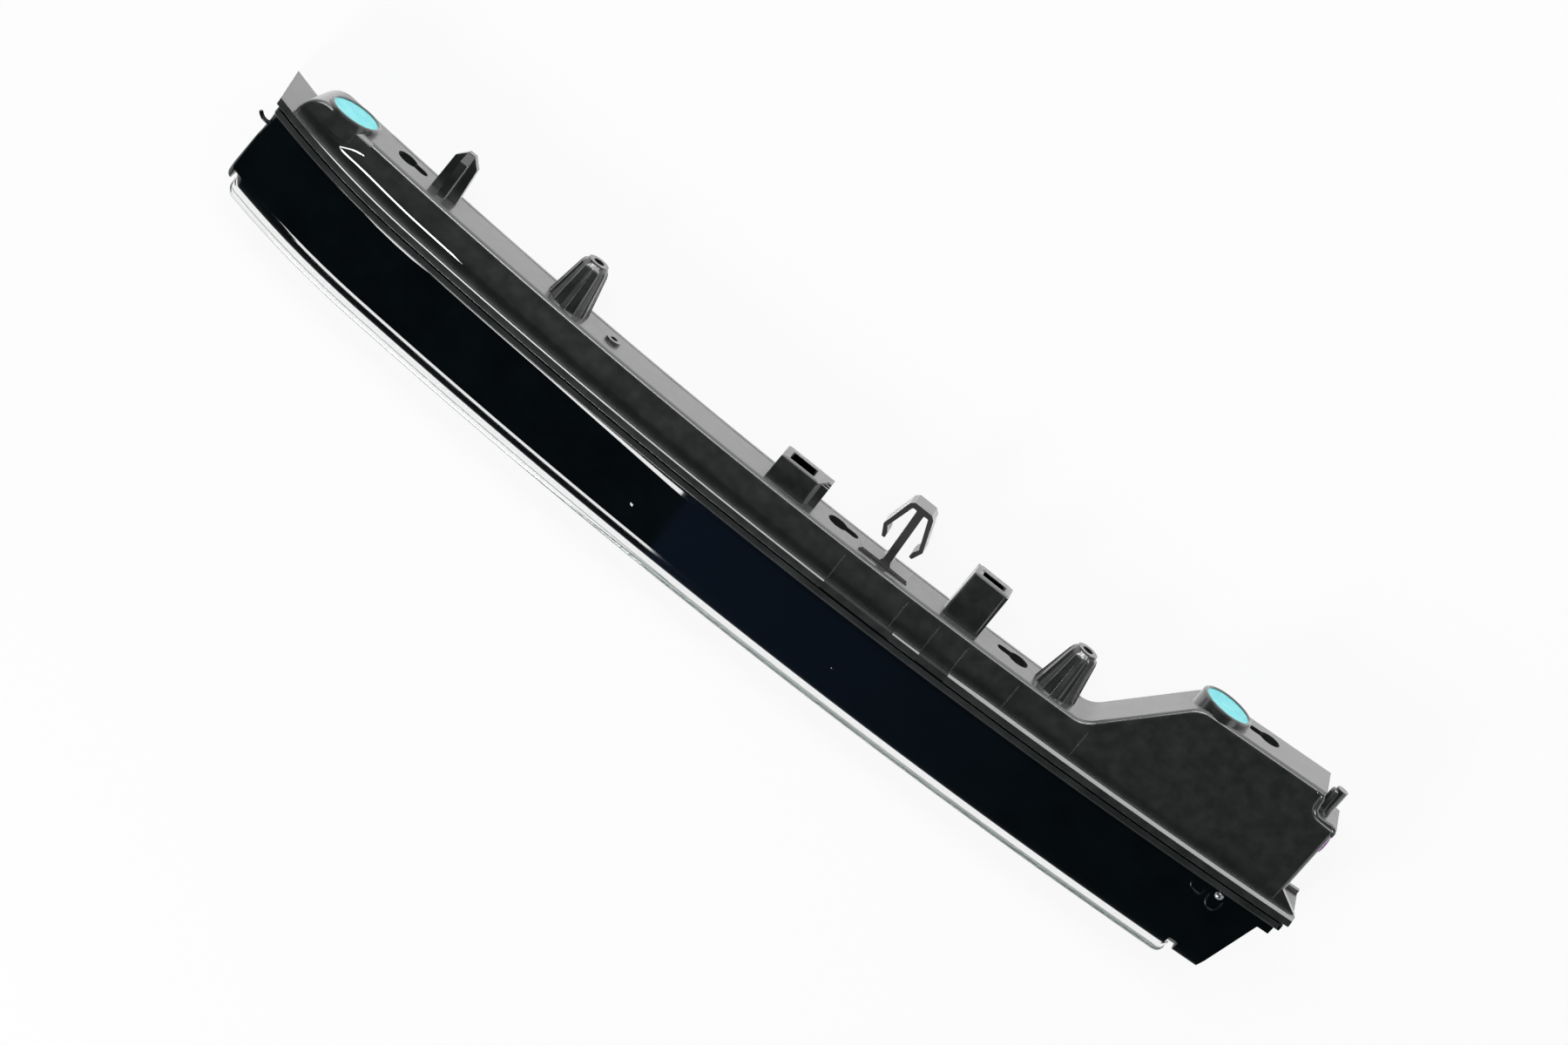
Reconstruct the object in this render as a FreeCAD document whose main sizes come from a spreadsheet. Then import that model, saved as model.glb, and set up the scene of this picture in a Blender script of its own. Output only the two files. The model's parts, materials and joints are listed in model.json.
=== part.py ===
import FreeCAD, Part
import math
import os
import re
import Sketcher

# Grille light bar: half of a car's front light line, lying flat.
# Origin midway between the two screw bosses, on the plane of their tips.
# X runs along the bar to the inboard end, Y to the rear, Z up.
# Depths called "deep" below are measured rearward from the joint between housing and lens.

SIZES = [
    # Plan curve of the joint: one long arc and a tighter arc at the outboard end
    ("bow_radius", 2650),
    ("end_bow_radius", 330),
    ("sweep_x", 167),
    ("part_plane", 38.5),
    ("end_left", 232),
    ("end_slant", 12),
    # Joint flanges and sealant
    ("flange_height", 30),
    ("flange_thick", 2.5),
    ("flange_right", 221.5),
    ("seal_thick", 1),
    ("seal_height", 26.5),
    ("seal_band", 3),
    ("seal_inset", 1.8),
    ("lens_flange_height", 29),
    ("lens_flange_thick", 2.5),
    ("lens_flange_right", 219.9),
    ("lens_end_inset", 0.6),
    # Housing tub and electronics box
    ("body_height", 24),
    ("wall", 2.4),
    ("housing_depth", 17.5),
    ("body_left", 223.7),
    ("body_right", 212.5),
    ("box_depth", 47.2),
    ("ramp_start", 122),
    ("ramp_top", 150),
    ("corner_round", 9),
    ("ramp_round", 10),
    ("edge_round", 1.6),
    ("notch_width", 11),
    ("notch_depth", 9.4),
    ("peg_radius", 2.2),
    ("peg_proud", 1.6),
    ("peg_z", 4),
    ("gusset_reach", 7.5),
    ("gusset_thick", 3),
    # Screw bosses
    ("screw_spacing", 216.6),
    ("boss_tip_radius", 4),
    ("boss_foot_radius", 5.4),
    ("boss_hole_radius", 2.1),
    ("boss_hole_depth", 15),
    ("boss_rib_thick", 1.8),
    ("boss_rib_tip", 4.9),
    ("boss_rib_foot", 8.3),
    ("boss_rib_drop", 2.6),
    # Locating pin
    ("pin_x", -165.7),
    ("pin_tip", 2.3),
    ("pin_tip_width", 2.6),
    ("pin_shoulder", 3.6),
    ("pin_shoulder_width", 9.4),
    ("pin_foot_width", 11.2),
    ("pin_blade", 3),
    # Connector shroud, insert and pins
    ("connector_x", -9),
    ("shroud_reach", 9.6),
    ("shroud_top_half", 8),
    ("shroud_foot_half", 12.2),
    ("shroud_half_height", 7),
    ("plug_way_width", 10.6),
    ("plug_way_height", 8),
    ("code_rib", 1.2),
    ("insert_thick", 5),
    ("insert_flange", 2),
    ("fit_gap", 0.05),
    ("pin_blade_width", 1.6),
    ("pin_blade_thick", 0.8),
    ("pin_pitch", 3),
    # Guide socket
    ("guide_x", 67.8),
    ("guide_width", 15),
    ("guide_height", 12),
    ("guide_reach", 18.4),
    ("guide_lean", 2.6),
    ("guide_way_width", 10),
    ("guide_way_height", 5.2),
    ("guide_way_depth", 15),
    # Keyhole pockets
    ("key_one_x", -183.4),
    ("key_two_x", 13),
    ("key_three_x", 92),
    ("key_four_x", 176.4),
    ("key_z", -2),
    ("key_radius", 4.2),
    ("key_slot_half", 2.3),
    ("key_slot_reach", 6.6),
    ("key_deep", 5.5),
    ("key_cup", 1.8),
    # Small ring boss
    ("ring_x", -88),
    ("ring_z", 0.5),
    ("ring_radius", 3),
    ("ring_hole_radius", 1.4),
    ("ring_reach", 1.1),
    # Spreader clip and its seat
    ("clip_x", 34.3),
    ("clip_seat_reach", 0.6),
    ("clip_seat_width", 21),
    ("clip_depth", 11),
    ("clip_tall", 25),
    ("clip_stem_half", 1.9),
    ("clip_head_half", 4.7),
    ("clip_barb_half", 8.3),
    ("clip_arm", 1.7),
    ("clip_foot_thick", 1),
    # Vent collars and patches
    ("vent_out_x", -206.4),
    ("vent_out_z", 3.2),
    ("vent_in_x", 157.4),
    ("vent_in_z", 1.4),
    ("collar_radius", 10.4),
    ("collar_length", 7),
    ("collar_out_proud", 0.8),
    ("collar_in_proud", 2.4),
    ("patch_radius", 9.3),
    ("patch_thick", 0.6),
    ("patch_sunk", 0.4),
    ("port_radius", 3),
    ("end_patch_y", -0.2),
    ("end_patch_z", 4),
    ("end_patch_radius", 4.7),
    ("end_patch_thick", 2.6),
    # Lens
    ("lens_depth", 33),
    ("lens_rear_height", 24.4),
    ("lens_front_height", 16),
    ("lens_round", 2.6),
    ("lens_foot_right", 218.4),
    ("lens_foot_depth", 7),
    ("lens_right_rear", 214),
    ("lens_right_front", 208.2),
    ("lens_cavity_right", 199),
    ("lens_end_wall", 4.4),
    ("facet_rear", 24),
    ("facet_front", 17),
    ("facet_depth", 13),
    ("facet_sink", 1.9),
    # Light blade
    ("blade_height", 7),
    ("blade_reach", 39.9),
    ("blade_rim", 2),
    ("blade_rim_step", 0.6),
    ("blade_right", 195.2),
    ("blade_left", 228.3),
    ("blade_tail", 2),
    ("slot_end_room", 3.8),
    # Light guide and reflector tray
    ("guide_gap", 0.4),
    ("rod_depth", 6),
    ("rod_height", 6),
    ("rod_right", 188.5),
    ("rod_left", 218),
    ("tray_wall", 1.8),
    ("tray_arm_width", 10),
    ("tray_arm_left", -140),
    ("tray_arm_mid", -50),
    ("tray_arm_right", 52),
    ("tray_post_deep", 10),
    ("tray_post_radius", 2.8),
    ("head_room", 0.3),
    ("head_gap", 0.1),
    # Light source at the inboard end
    ("source_gap", 0.4),
    ("emitter_thick", 0.8),
    ("emitter_side", 2.8),
    ("emitter_pitch", 3.1),
    ("source_board_thick", 1.6),
    ("source_board_depth", 18.5),
    ("source_board_height", 10),
    ("sink_thick", 2),
    ("sink_gap", 0.3),
    ("sink_foot_width", 20),
    ("sink_foot_depth", 6.5),
    ("sink_post_height", 3),
    # Driver board in the box
    ("board_left", 156),
    ("board_right", 202),
    ("board_front", -25),
    ("board_rear", 1),
    ("board_thick", 1.6),
    ("board_lift", 5),
    ("board_post_radius", 2.6),
    ("board_post_inset", 4),
    ("chip_side", 9),
    ("chip_thick", 1.5),
    ("coil_side", 8),
    ("coil_thick", 4.6),
    ("can_radius", 3.1),
    ("can_height", 7),
    ("header_width", 7),
    ("header_depth", 6),
    ("header_height", 6),
    # Leads
    ("lead_radius", 0.7),
    ("lead_deep", 6.4),
    ("lead_pitch", 2.2),
    ("plug_width", 14),
    ("plug_depth", 9),
    ("plug_top", 4.4),
    ("socket_width", 10),
    ("socket_depth", 8),
    ("socket_height", 7),
    ("source_lead_radius", 0.6),
    ("source_lead_half", 1.6),
    # Small screws
    ("screw_radius", 1.1),
    ("screw_head_radius", 2.2),
    ("screw_head_thick", 1.6),
    ("screw_length", 5.5),
    ("sink_screw_length", 4.4),
    ("screw_socket", 1.1),
]

doc = FreeCAD.newDocument("grille_light_bar")
sheet = doc.addObject("Spreadsheet::Sheet", "Sizes")
size = {}
for row, (alias, number) in enumerate(SIZES, start=1):
    sheet.set("A%d" % row, alias)
    sheet.set("B%d" % row, str(number))
    sheet.setAlias("B%d" % row, alias)
    size[alias] = float(number)
doc.recompute()

ADDS = ("Pad", "Revolution", "AdditiveBox", "AdditiveCylinder")


def cells(text):
    """Puts the sheet's name in front of each alias in an expression."""
    return re.sub(r"[a-z][a-z_]*", lambda word: "Sizes." + word[0] if word[0] in size else word[0], str(text))


def bind(thing, path, text):
    thing.setExpression(path, cells(text))


def rise(x, radius="bow_radius"):
    """How far an arc of the bow has swept back at this X."""
    return "(({r}) - sqrt(({r}) ^ 2 - ({x}) ^ 2))".format(r=radius, x=x)


def rise_number(x, radius):
    return radius - math.sqrt(radius ** 2 - x ** 2)


def joint(x):
    return "(-part_plane + %s)" % rise(x)


def rear(x):
    return "(-part_plane + housing_depth + %s)" % rise(x, "bow_radius - housing_depth")


def box_rear(x):
    return "(-part_plane + box_depth + %s)" % rise(x, "bow_radius - box_depth")


JUNCTION = "asin(sweep_x / bow_radius)"
FLOOR = "(-body_height / 2 + wall)"
TRAY_LEVEL = "(body_height / 2 - wall - head_room - screw_head_radius)"


def end_turn(left, radius):
    """Angle of the tighter outboard arc that reaches this X on an arc of this radius."""
    return "(asin(({x} - sweep_x * (1 - end_bow_radius / bow_radius)) / ({r})) - {j})".format(
        x=left, r=radius, j=JUNCTION)


def new_body(label):
    body = doc.addObject("PartDesign::Body", label)
    body.Label = label
    return body


def grown(body, feature, before):
    """Every feature must really add or remove material."""
    doc.recompute()
    change = feature.Shape.Volume - before
    kind = feature.TypeId.split("::")[1]
    if kind in ("Fillet", "Chamfer"):
        return feature
    if (change > 1e-6) != (kind in ADDS):
        raise RuntimeError("%s of %s changed the volume by %.4f" % (feature.Name, body.Label, change))
    return feature


def volume(body):
    if body.Tip is None or body.Tip.TypeId.startswith("Sketcher"):
        return 0.0
    return body.Tip.Shape.Volume


def plane_of(body, role):
    return [item for item in body.Origin.OriginFeatures if item.Role == role][0]


def place(thing, body, role, offset):
    thing.AttachmentSupport = [(plane_of(body, role), "")]
    thing.MapMode = "FlatFace"
    for letter, text in zip("xyz", offset):
        if text != "0":
            bind(thing, "AttachmentOffset.Base." + letter, text)


def new_sketch(body, name, role, offset=("0", "0", "0")):
    sketch = body.newObject("Sketcher::SketchObject", name)
    place(sketch, body, role, offset)
    return sketch


def hold(sketch, kind, item, point, text, start):
    index = sketch.addConstraint(Sketcher.Constraint(kind, -1, 1, item, point, start))
    bind(sketch, "Constraints[%d]" % index, text)


def add_polygon(sketch, corners):
    """Closed outline; each corner is held by its two coordinates."""
    first = sketch.GeometryCount
    count = len(corners)
    points = []
    for index in range(count):
        turn = 2 * math.pi * index / count
        points.append(FreeCAD.Vector(20 + 10 * math.cos(turn), 20 + 10 * math.sin(turn), 0))
    for index in range(count):
        sketch.addGeometry(Part.LineSegment(points[index], points[(index + 1) % count]), False)
    joins = []
    for index in range(count):
        joins.append(Sketcher.Constraint("Coincident", first + index, 2, first + (index + 1) % count, 1))
    sketch.addConstraint(joins)
    for index, (across, along) in enumerate(corners):
        hold(sketch, "DistanceX", first + index, 1, across, points[index].x)
        hold(sketch, "DistanceY", first + index, 1, along, points[index].y)


def add_axis(sketch, across):
    """Upright construction line to turn a section about."""
    item = sketch.GeometryCount
    line = Part.LineSegment(FreeCAD.Vector(100, 0, 0), FreeCAD.Vector(100, 10, 0))
    sketch.addGeometry(line, True)
    for point, along in ((1, 0), (2, 10)):
        hold(sketch, "DistanceX", item, point, across, 100)
        hold(sketch, "DistanceY", item, point, str(along), along)


def add_circle(sketch, across, along, radius):
    item = sketch.GeometryCount
    sketch.addGeometry(Part.Circle(FreeCAD.Vector(20, 20, 0), FreeCAD.Vector(0, 0, 1), 1), False)
    hold(sketch, "DistanceX", item, 3, across, 20)
    hold(sketch, "DistanceY", item, 3, along, 20)
    index = sketch.addConstraint(Sketcher.Constraint("Radius", item, 1))
    bind(sketch, "Constraints[%d]" % index, radius)


def pad(body, name, sketch, length, kind="Pad", side="One side", back=False):
    before = volume(body)
    feature = body.newObject("PartDesign::" + kind, name)
    feature.Profile = sketch
    feature.SideType = side
    feature.Reversed = back
    bind(feature, "Length", length)
    return grown(body, feature, before)


def turned(body, name, sketch, kind, right, left=None, back=False):
    """Turns a section about its upright line, to the right by one angle and to the left by the other."""
    before = volume(body)
    feature = body.newObject("PartDesign::" + kind, name)
    feature.Profile = sketch
    feature.ReferenceAxis = (sketch, ["Axis0"])
    feature.Reversed = back
    if left is None:
        feature.Type = "Angle"
    else:
        feature.Type = "TwoAngles"
        bind(feature, "Angle2", left)
    bind(feature, "Angle", right)
    return grown(body, feature, before)


def main_sketch(body, name, outlines):
    sketch = new_sketch(body, name, "YZ_Plane")
    add_axis(sketch, "bow_radius - part_plane")
    for corners in outlines:
        add_polygon(sketch, [("-part_plane + (%s)" % deep, up) for deep, up in corners])
    return sketch


def end_sketch(body, name, outlines):
    """Section plane through the point where the tighter outboard arc starts."""
    sketch = body.newObject("Sketcher::SketchObject", name)
    sketch.AttachmentSupport = [(plane_of(body, "YZ_Plane"), "")]
    sketch.MapMode = "FlatFace"
    sketch.AttachmentOffset = FreeCAD.Placement(
        FreeCAD.Vector(), FreeCAD.Rotation(FreeCAD.Vector(0, 1, 0), -3))
    bind(sketch, "AttachmentOffset.Base.x", joint("sweep_x"))
    bind(sketch, "AttachmentOffset.Base.z", "-sweep_x")
    bind(sketch, "AttachmentOffset.Rotation.Angle", "-" + JUNCTION)
    add_axis(sketch, "end_bow_radius")
    for corners in outlines:
        add_polygon(sketch, corners)
    return sketch


def run(body, name, outlines, kind, right, left, deep="0"):
    """Carries a section along the whole bow: the long arc, then the tighter outboard arc.

    Both ends are reached at the given depth of the section.
    """
    section = main_sketch(body, name + "_section", outlines)
    turned(body, name, section, kind, "asin((%s) / (bow_radius - (%s)))" % (right, deep), JUNCTION)
    section = end_sketch(body, name + "_end_section", outlines)
    turned(body, name + "_end", section, kind, end_turn(left, "end_bow_radius - (%s)" % deep), back=True)


def symmetric(corners):
    """Adds the mirrored lower half to the upper half of a section."""
    lower = [(deep, "-(%s)" % up) for deep, up in reversed(corners)]
    return list(corners) + lower


def solid_box(body, name, kind, corner, lengths):
    before = volume(body)
    feature = body.newObject("PartDesign::" + kind, name)
    place(feature, body, "XY_Plane", corner)
    for side, text in zip(("Length", "Width", "Height"), lengths):
        bind(feature, side, text)
    return grown(body, feature, before)


def rod(body, name, kind, centre, radius, length):
    """Round piece from its rear end at X, Y, Z forward along -Y."""
    before = volume(body)
    feature = body.newObject("PartDesign::" + kind, name)
    place(feature, body, "XZ_Plane", (centre[0], centre[2], "-(%s)" % centre[1]))
    bind(feature, "Radius", radius)
    bind(feature, "Height", length)
    return grown(body, feature, before)


def post(body, name, kind, foot, radius, length):
    """Round piece upward from its foot."""
    before = volume(body)
    feature = body.newObject("PartDesign::" + kind, name)
    place(feature, body, "XY_Plane", foot)
    bind(feature, "Radius", radius)
    bind(feature, "Height", length)
    return grown(body, feature, before)


def rounded(body, name, edges, radius):
    before = volume(body)
    feature = body.newObject("PartDesign::Fillet", name)
    feature.Base = (body.Tip if body.Tip != feature else feature.BaseFeature, edges)
    bind(feature, "Radius", radius)
    return grown(body, feature, before)


def edges_through(shape, points):
    """Names of the edges that pass through the given points."""
    names = []
    for point in points:
        spot = Part.Vertex(FreeCAD.Vector(*point))
        gaps = [edge.distToShape(spot)[0] for edge in shape.Edges]
        nearest = min(range(len(gaps)), key=lambda index: gaps[index])
        if gaps[nearest] > 0.02:
            raise RuntimeError("no edge at %s, nearest %.3f" % (point, gaps[nearest]))
        names.append("Edge%d" % (nearest + 1))
    return names


def slanted_end(body, name, inset):
    """Cuts the outboard end along one leaning plane."""
    sketch = new_sketch(body, name + "_outline", "XZ_Plane")
    edge = "-end_left + {i} + {z} * tan(end_slant * 1 deg)"
    add_polygon(sketch, [
        (edge.format(i=inset, z=40), "40"),
        ("-end_left - 90", "40"),
        ("-end_left - 90", "-40"),
        (edge.format(i=inset, z=-40), "-40"),
    ])
    pad(body, name, sketch, "400", "Pocket", "Symmetric")


def loose(kind, name, place_texts, sizes, turn=None):
    """Plain solid that is joined to or cut from a bigger piece later."""
    thing = doc.addObject("Part::" + kind, name)
    if turn is not None:
        thing.Placement = FreeCAD.Placement(FreeCAD.Vector(), turn)
    for letter, words in zip("xyz", place_texts):
        bind(thing, "Placement.Base." + letter, words)
    for side, words in sizes.items():
        bind(thing, side, words)
    return thing


FORWARD = FreeCAD.Rotation(FreeCAD.Vector(1, 0, 0), 90)


def loose_box(name, corner, lengths):
    return loose("Box", name, corner, dict(zip(("Length", "Width", "Height"), lengths)))


def loose_rod(name, rear_end, radius, length):
    """Round bar from its rear end forward along -Y."""
    return loose("Cylinder", name, rear_end, {"Radius": radius, "Height": length}, FORWARD)


def loose_post(name, foot, radius, length):
    return loose("Cylinder", name, foot, {"Radius": radius, "Height": length})


def loose_pad(name, role, offset, corners, length, side="Symmetric"):
    body = new_body(name)
    sketch = new_sketch(body, name + "_outline", role, offset)
    add_polygon(sketch, corners)
    pad(body, name + "_pad", sketch, length, side=side)
    return body


def group(label, members):
    holder = doc.addObject("Part::Compound", label)
    holder.Label = label
    holder.Links = members
    return holder


# Rear housing: tub and box as one block
housing = new_body("housing_shell")
half = "body_height / 2"
tub = main_sketch(housing, "tub_section", [symmetric([("-8", half), ("housing_depth", half)])])
turned(housing, "tub", tub, "Revolution", "asin((body_right + 6) / bow_radius)", "asin(body_left / bow_radius)")
outline = new_sketch(housing, "box_outline", "XY_Plane")
add_polygon(outline, [
    ("ramp_start", rear("ramp_start") + " - 5"),
    ("ramp_start", rear("ramp_start")),
    ("ramp_top", box_rear("ramp_top")),
    ("body_right + 6", box_rear("body_right + 6")),
    ("body_right + 6", joint("body_right") + " + 3"),
])
pad(housing, "box", outline, "body_height", side="Symmetric")
solid_box(housing, "inboard_trim", "SubtractiveBox", ("body_right", "-part_plane - 60", "-40"), ("60", "140", "80"))
notch_floor = box_rear("body_right") + " - notch_depth"
solid_box(housing, "corner_notch", "SubtractiveBox", ("body_right - notch_width", notch_floor, "-40"),
          ("notch_width + 20", "40", "80"))

# Upright corners of the tub and box
inner_radius = size["bow_radius"] - size["housing_depth"]
end_angle = math.asin(size["body_left"] / size["bow_radius"])
centre_y = size["bow_radius"] - size["part_plane"]
box_radius = size["bow_radius"] - size["box_depth"]


def rear_point(x):
    return centre_y - math.sqrt(inner_radius ** 2 - x ** 2)


def box_point(x):
    return centre_y - math.sqrt(box_radius ** 2 - x ** 2)


notch_x = size["body_right"] - size["notch_width"]
notch_y = box_point(size["body_right"]) - size["notch_depth"]
corner_point = (-inner_radius * math.sin(end_angle), centre_y - inner_radius * math.cos(end_angle), 0)
ramp_points = [
    (size["ramp_start"], rear_point(size["ramp_start"]), 0),
    (size["ramp_top"], box_point(size["ramp_top"]), 0),
]
rounded(housing, "outboard_corner", edges_through(housing.Tip.Shape, [corner_point]), "corner_round")
rounded(housing, "ramp_corners", edges_through(housing.Tip.Shape, ramp_points), "ramp_round")
rounded(housing, "notch_corner", edges_through(housing.Tip.Shape, [(notch_x, notch_y, 0)]), "notch_width / 3")

# Long edges of the rear and end walls, above and below
long_edges = []
for index, edge in enumerate(housing.Tip.Shape.Edges, start=1):
    middle = edge.valueAt((edge.FirstParameter + edge.LastParameter) / 2)
    flat = all(abs(abs(point.z) - size["body_height"] / 2) < 1e-4 for point in
               [middle] + [vertex.Point for vertex in edge.Vertexes])
    front = -size["part_plane"] - 8 + rise_number(middle.x, size["bow_radius"] + 8)
    if flat and middle.y > front + 0.5:
        long_edges.append("Edge%d" % index)
rounded(housing, "wall_edges", long_edges, "edge_round")

# Vent collars stand a little above the top wall
vents = [
    ("outboard_vent", "vent_out_x", "vent_out_z", rear("vent_out_x") + " + collar_out_proud"),
    ("inboard_vent", "vent_in_x", "vent_in_z", box_rear("vent_in_x") + " + collar_in_proud"),
]
for name, x, z, tip in vents:
    rod(housing, name + "_collar", "AdditiveCylinder", (x, tip, z), "collar_radius", "collar_length")

# Joint face and flange
face = "seal_thick / 2"
cut = symmetric([("-70", "60"), (face, "60")])
run(housing, "joint_trim", [cut], "Groove", "body_right + 30", "end_left + 20")
tall = "flange_height / 2"
flange = symmetric([(face, tall), (face + " + flange_thick", tall)])
run(housing, "flange", [flange], "Revolution", "flange_right", "end_left + 12")
slanted_end(housing, "outboard_end", "0")

# Hollow inside of the tub and the box
room = "body_height / 2 - wall"
hollow = symmetric([("-12", room), ("housing_depth - wall", room)])
turned(housing, "tub_room", main_sketch(housing, "tub_room_section", [hollow]), "Groove",
       "asin((ramp_start + 10) / bow_radius)", "asin((body_left - 2 * wall - 3) / bow_radius)")
hollow = new_sketch(housing, "box_room_outline", "XY_Plane")
add_polygon(hollow, [
    ("ramp_start + 4", rear("ramp_start") + " - wall - 2"),
    ("ramp_top + 3", box_rear("ramp_top") + " - wall"),
    ("body_right - notch_width - wall", box_rear("body_right - notch_width - wall") + " - wall"),
    ("body_right - notch_width - wall", notch_floor + " - wall"),
    ("body_right - wall", notch_floor + " - wall"),
    ("body_right - wall", joint("body_right") + " - 4"),
    ("ramp_start + 4", joint("ramp_start") + " - 4"),
])
pad(housing, "box_room", hollow, "body_height - 2 * wall", "Pocket", "Symmetric")

# What is joined to the shell and what is cut from it
joined = [housing]
cuts = []
origin = ("0", "0", "0")
joined.append(loose_pad("gusset", "XY_Plane", ("0", "0", "body_height / 2 - gusset_thick"), [
    ("body_right - 1", joint("body_right") + " + flange_thick + gusset_reach"),
    ("body_right - 1", joint("body_right") + " + flange_thick / 2"),
    ("flange_right - 0.6", joint("flange_right") + " + flange_thick / 2"),
    ("flange_right - 0.6", joint("flange_right") + " + flange_thick + 1.6"),
], "gusset_thick", "One side"))

# Vent seats and ports
for name, x, z, tip in vents:
    cuts.append(loose_rod(name + "_seat", (x, tip + " + 1", z), "patch_radius", "patch_sunk + 1"))
    cuts.append(loose_rod(name + "_port", (x, tip, z), "port_radius", "collar_length + 5"))

# Two ribbed screw bosses with their tips on the mounting plane
for side, x in (("outboard", "-screw_spacing / 2"), ("inboard", "screw_spacing / 2")):
    foot = rear("screw_spacing / 2") + " - wall / 2"
    sizes = {"Radius1": "boss_tip_radius", "Radius2": "boss_foot_radius", "Height": "-(%s)" % foot}
    joined.append(loose("Cone", side + "_boss", (x, "0", "0"), sizes, FORWARD))
    joined.append(loose_pad(side + "_flat_ribs", "XY_Plane", origin, [
        (x + " - boss_rib_foot", foot),
        (x + " - boss_rib_tip", "-boss_rib_drop"),
        (x + " + boss_rib_tip", "-boss_rib_drop"),
        (x + " + boss_rib_foot", foot),
    ], "boss_rib_thick"))
    joined.append(loose_pad(side + "_upright_ribs", "YZ_Plane", ("0", "0", x), [
        (foot, "-boss_rib_foot"),
        ("-boss_rib_drop", "-boss_rib_tip"),
        ("-boss_rib_drop", "boss_rib_tip"),
        (foot, "boss_rib_foot + 1.6"),
    ], "boss_rib_thick"))
    cuts.append(loose_rod(side + "_screw_hole", (x, "1", "0"), "boss_hole_radius", "boss_hole_depth + 1"))

# Locating pin of two crossed blades with a pointed tip
foot = rear("pin_x") + " - wall / 2"
steps = [("pin_foot_width", foot), ("pin_shoulder_width", "pin_tip - pin_shoulder"), ("pin_tip_width", "pin_tip")]
outline = [("-%s / 2" % width, y) for width, y in steps]
outline += [("%s / 2" % width, y) for width, y in reversed(steps)]
joined.append(loose_pad("pin_flat", "XY_Plane", origin, [("pin_x + " + across, y) for across, y in outline],
                        "pin_blade"))
joined.append(loose_pad("pin_upright", "YZ_Plane", ("0", "0", "pin_x"), [(y, across) for across, y in outline],
                        "pin_blade"))

# Connector shroud, leaning out below on its inboard side, with coding ribs there
mouth = rear("connector_x") + " + shroud_reach"
joined.append(loose_pad("shroud", "XZ_Plane", ("0", "0", "-(%s)" % mouth), [
    ("connector_x - shroud_top_half", "shroud_half_height"),
    ("connector_x - shroud_top_half", "-shroud_half_height"),
    ("connector_x + shroud_foot_half", "-shroud_half_height"),
    ("connector_x + shroud_top_half", "shroud_half_height"),
], "shroud_reach + wall / 2", "One side"))
for index, level in enumerate(("-4.6", "-1.6", "1.4")):
    joined.append(loose_box(
        "code_rib_%d" % index,
        ("connector_x + shroud_top_half - 0.6", rear("connector_x") + " - wall / 2", level),
        ("shroud_foot_half - shroud_top_half + 0.6", "shroud_reach + wall / 2 - 1", "code_rib")))
cuts.append(loose_box(
    "plug_way",
    ("connector_x - plug_way_width / 2", rear("connector_x") + " - wall - 3", "-plug_way_height / 2"),
    ("plug_way_width", "shroud_reach + wall + 5", "plug_way_height")))

# Guide socket: tall tube with one leaning side and a window in its top face
mouth = rear("guide_x") + " + guide_reach"
joined.append(loose_pad("guide_tube", "XZ_Plane", ("0", "0", "-(%s)" % mouth), [
    ("guide_x - guide_width / 2 + guide_lean", "guide_height / 2"),
    ("guide_x - guide_width / 2", "-guide_height / 2"),
    ("guide_x + guide_width / 2", "-guide_height / 2"),
    ("guide_x + guide_width / 2", "guide_height / 2"),
], "guide_reach + wall / 2", "One side"))
cuts.append(loose_box(
    "guide_way",
    ("guide_x + 0.6 - guide_way_width / 2", mouth + " - guide_way_depth", "-guide_way_height / 2"),
    ("guide_way_width", "guide_way_depth + 2", "guide_way_height")))
cuts.append(loose_box("guide_window", ("guide_x - 2.2", mouth + " - 7.2", "0"), ("5.4", "4", "guide_height")))

# Keyhole pockets in blind cups
keyholes = [
    ("key_one", "key_one_x", rear("key_one_x"), 1),
    ("key_two", "key_two_x", rear("key_two_x"), 1),
    ("key_three", "key_three_x", rear("key_three_x"), -1),
    ("key_four", "key_four_x", box_rear("key_four_x"), -1),
]


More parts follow.
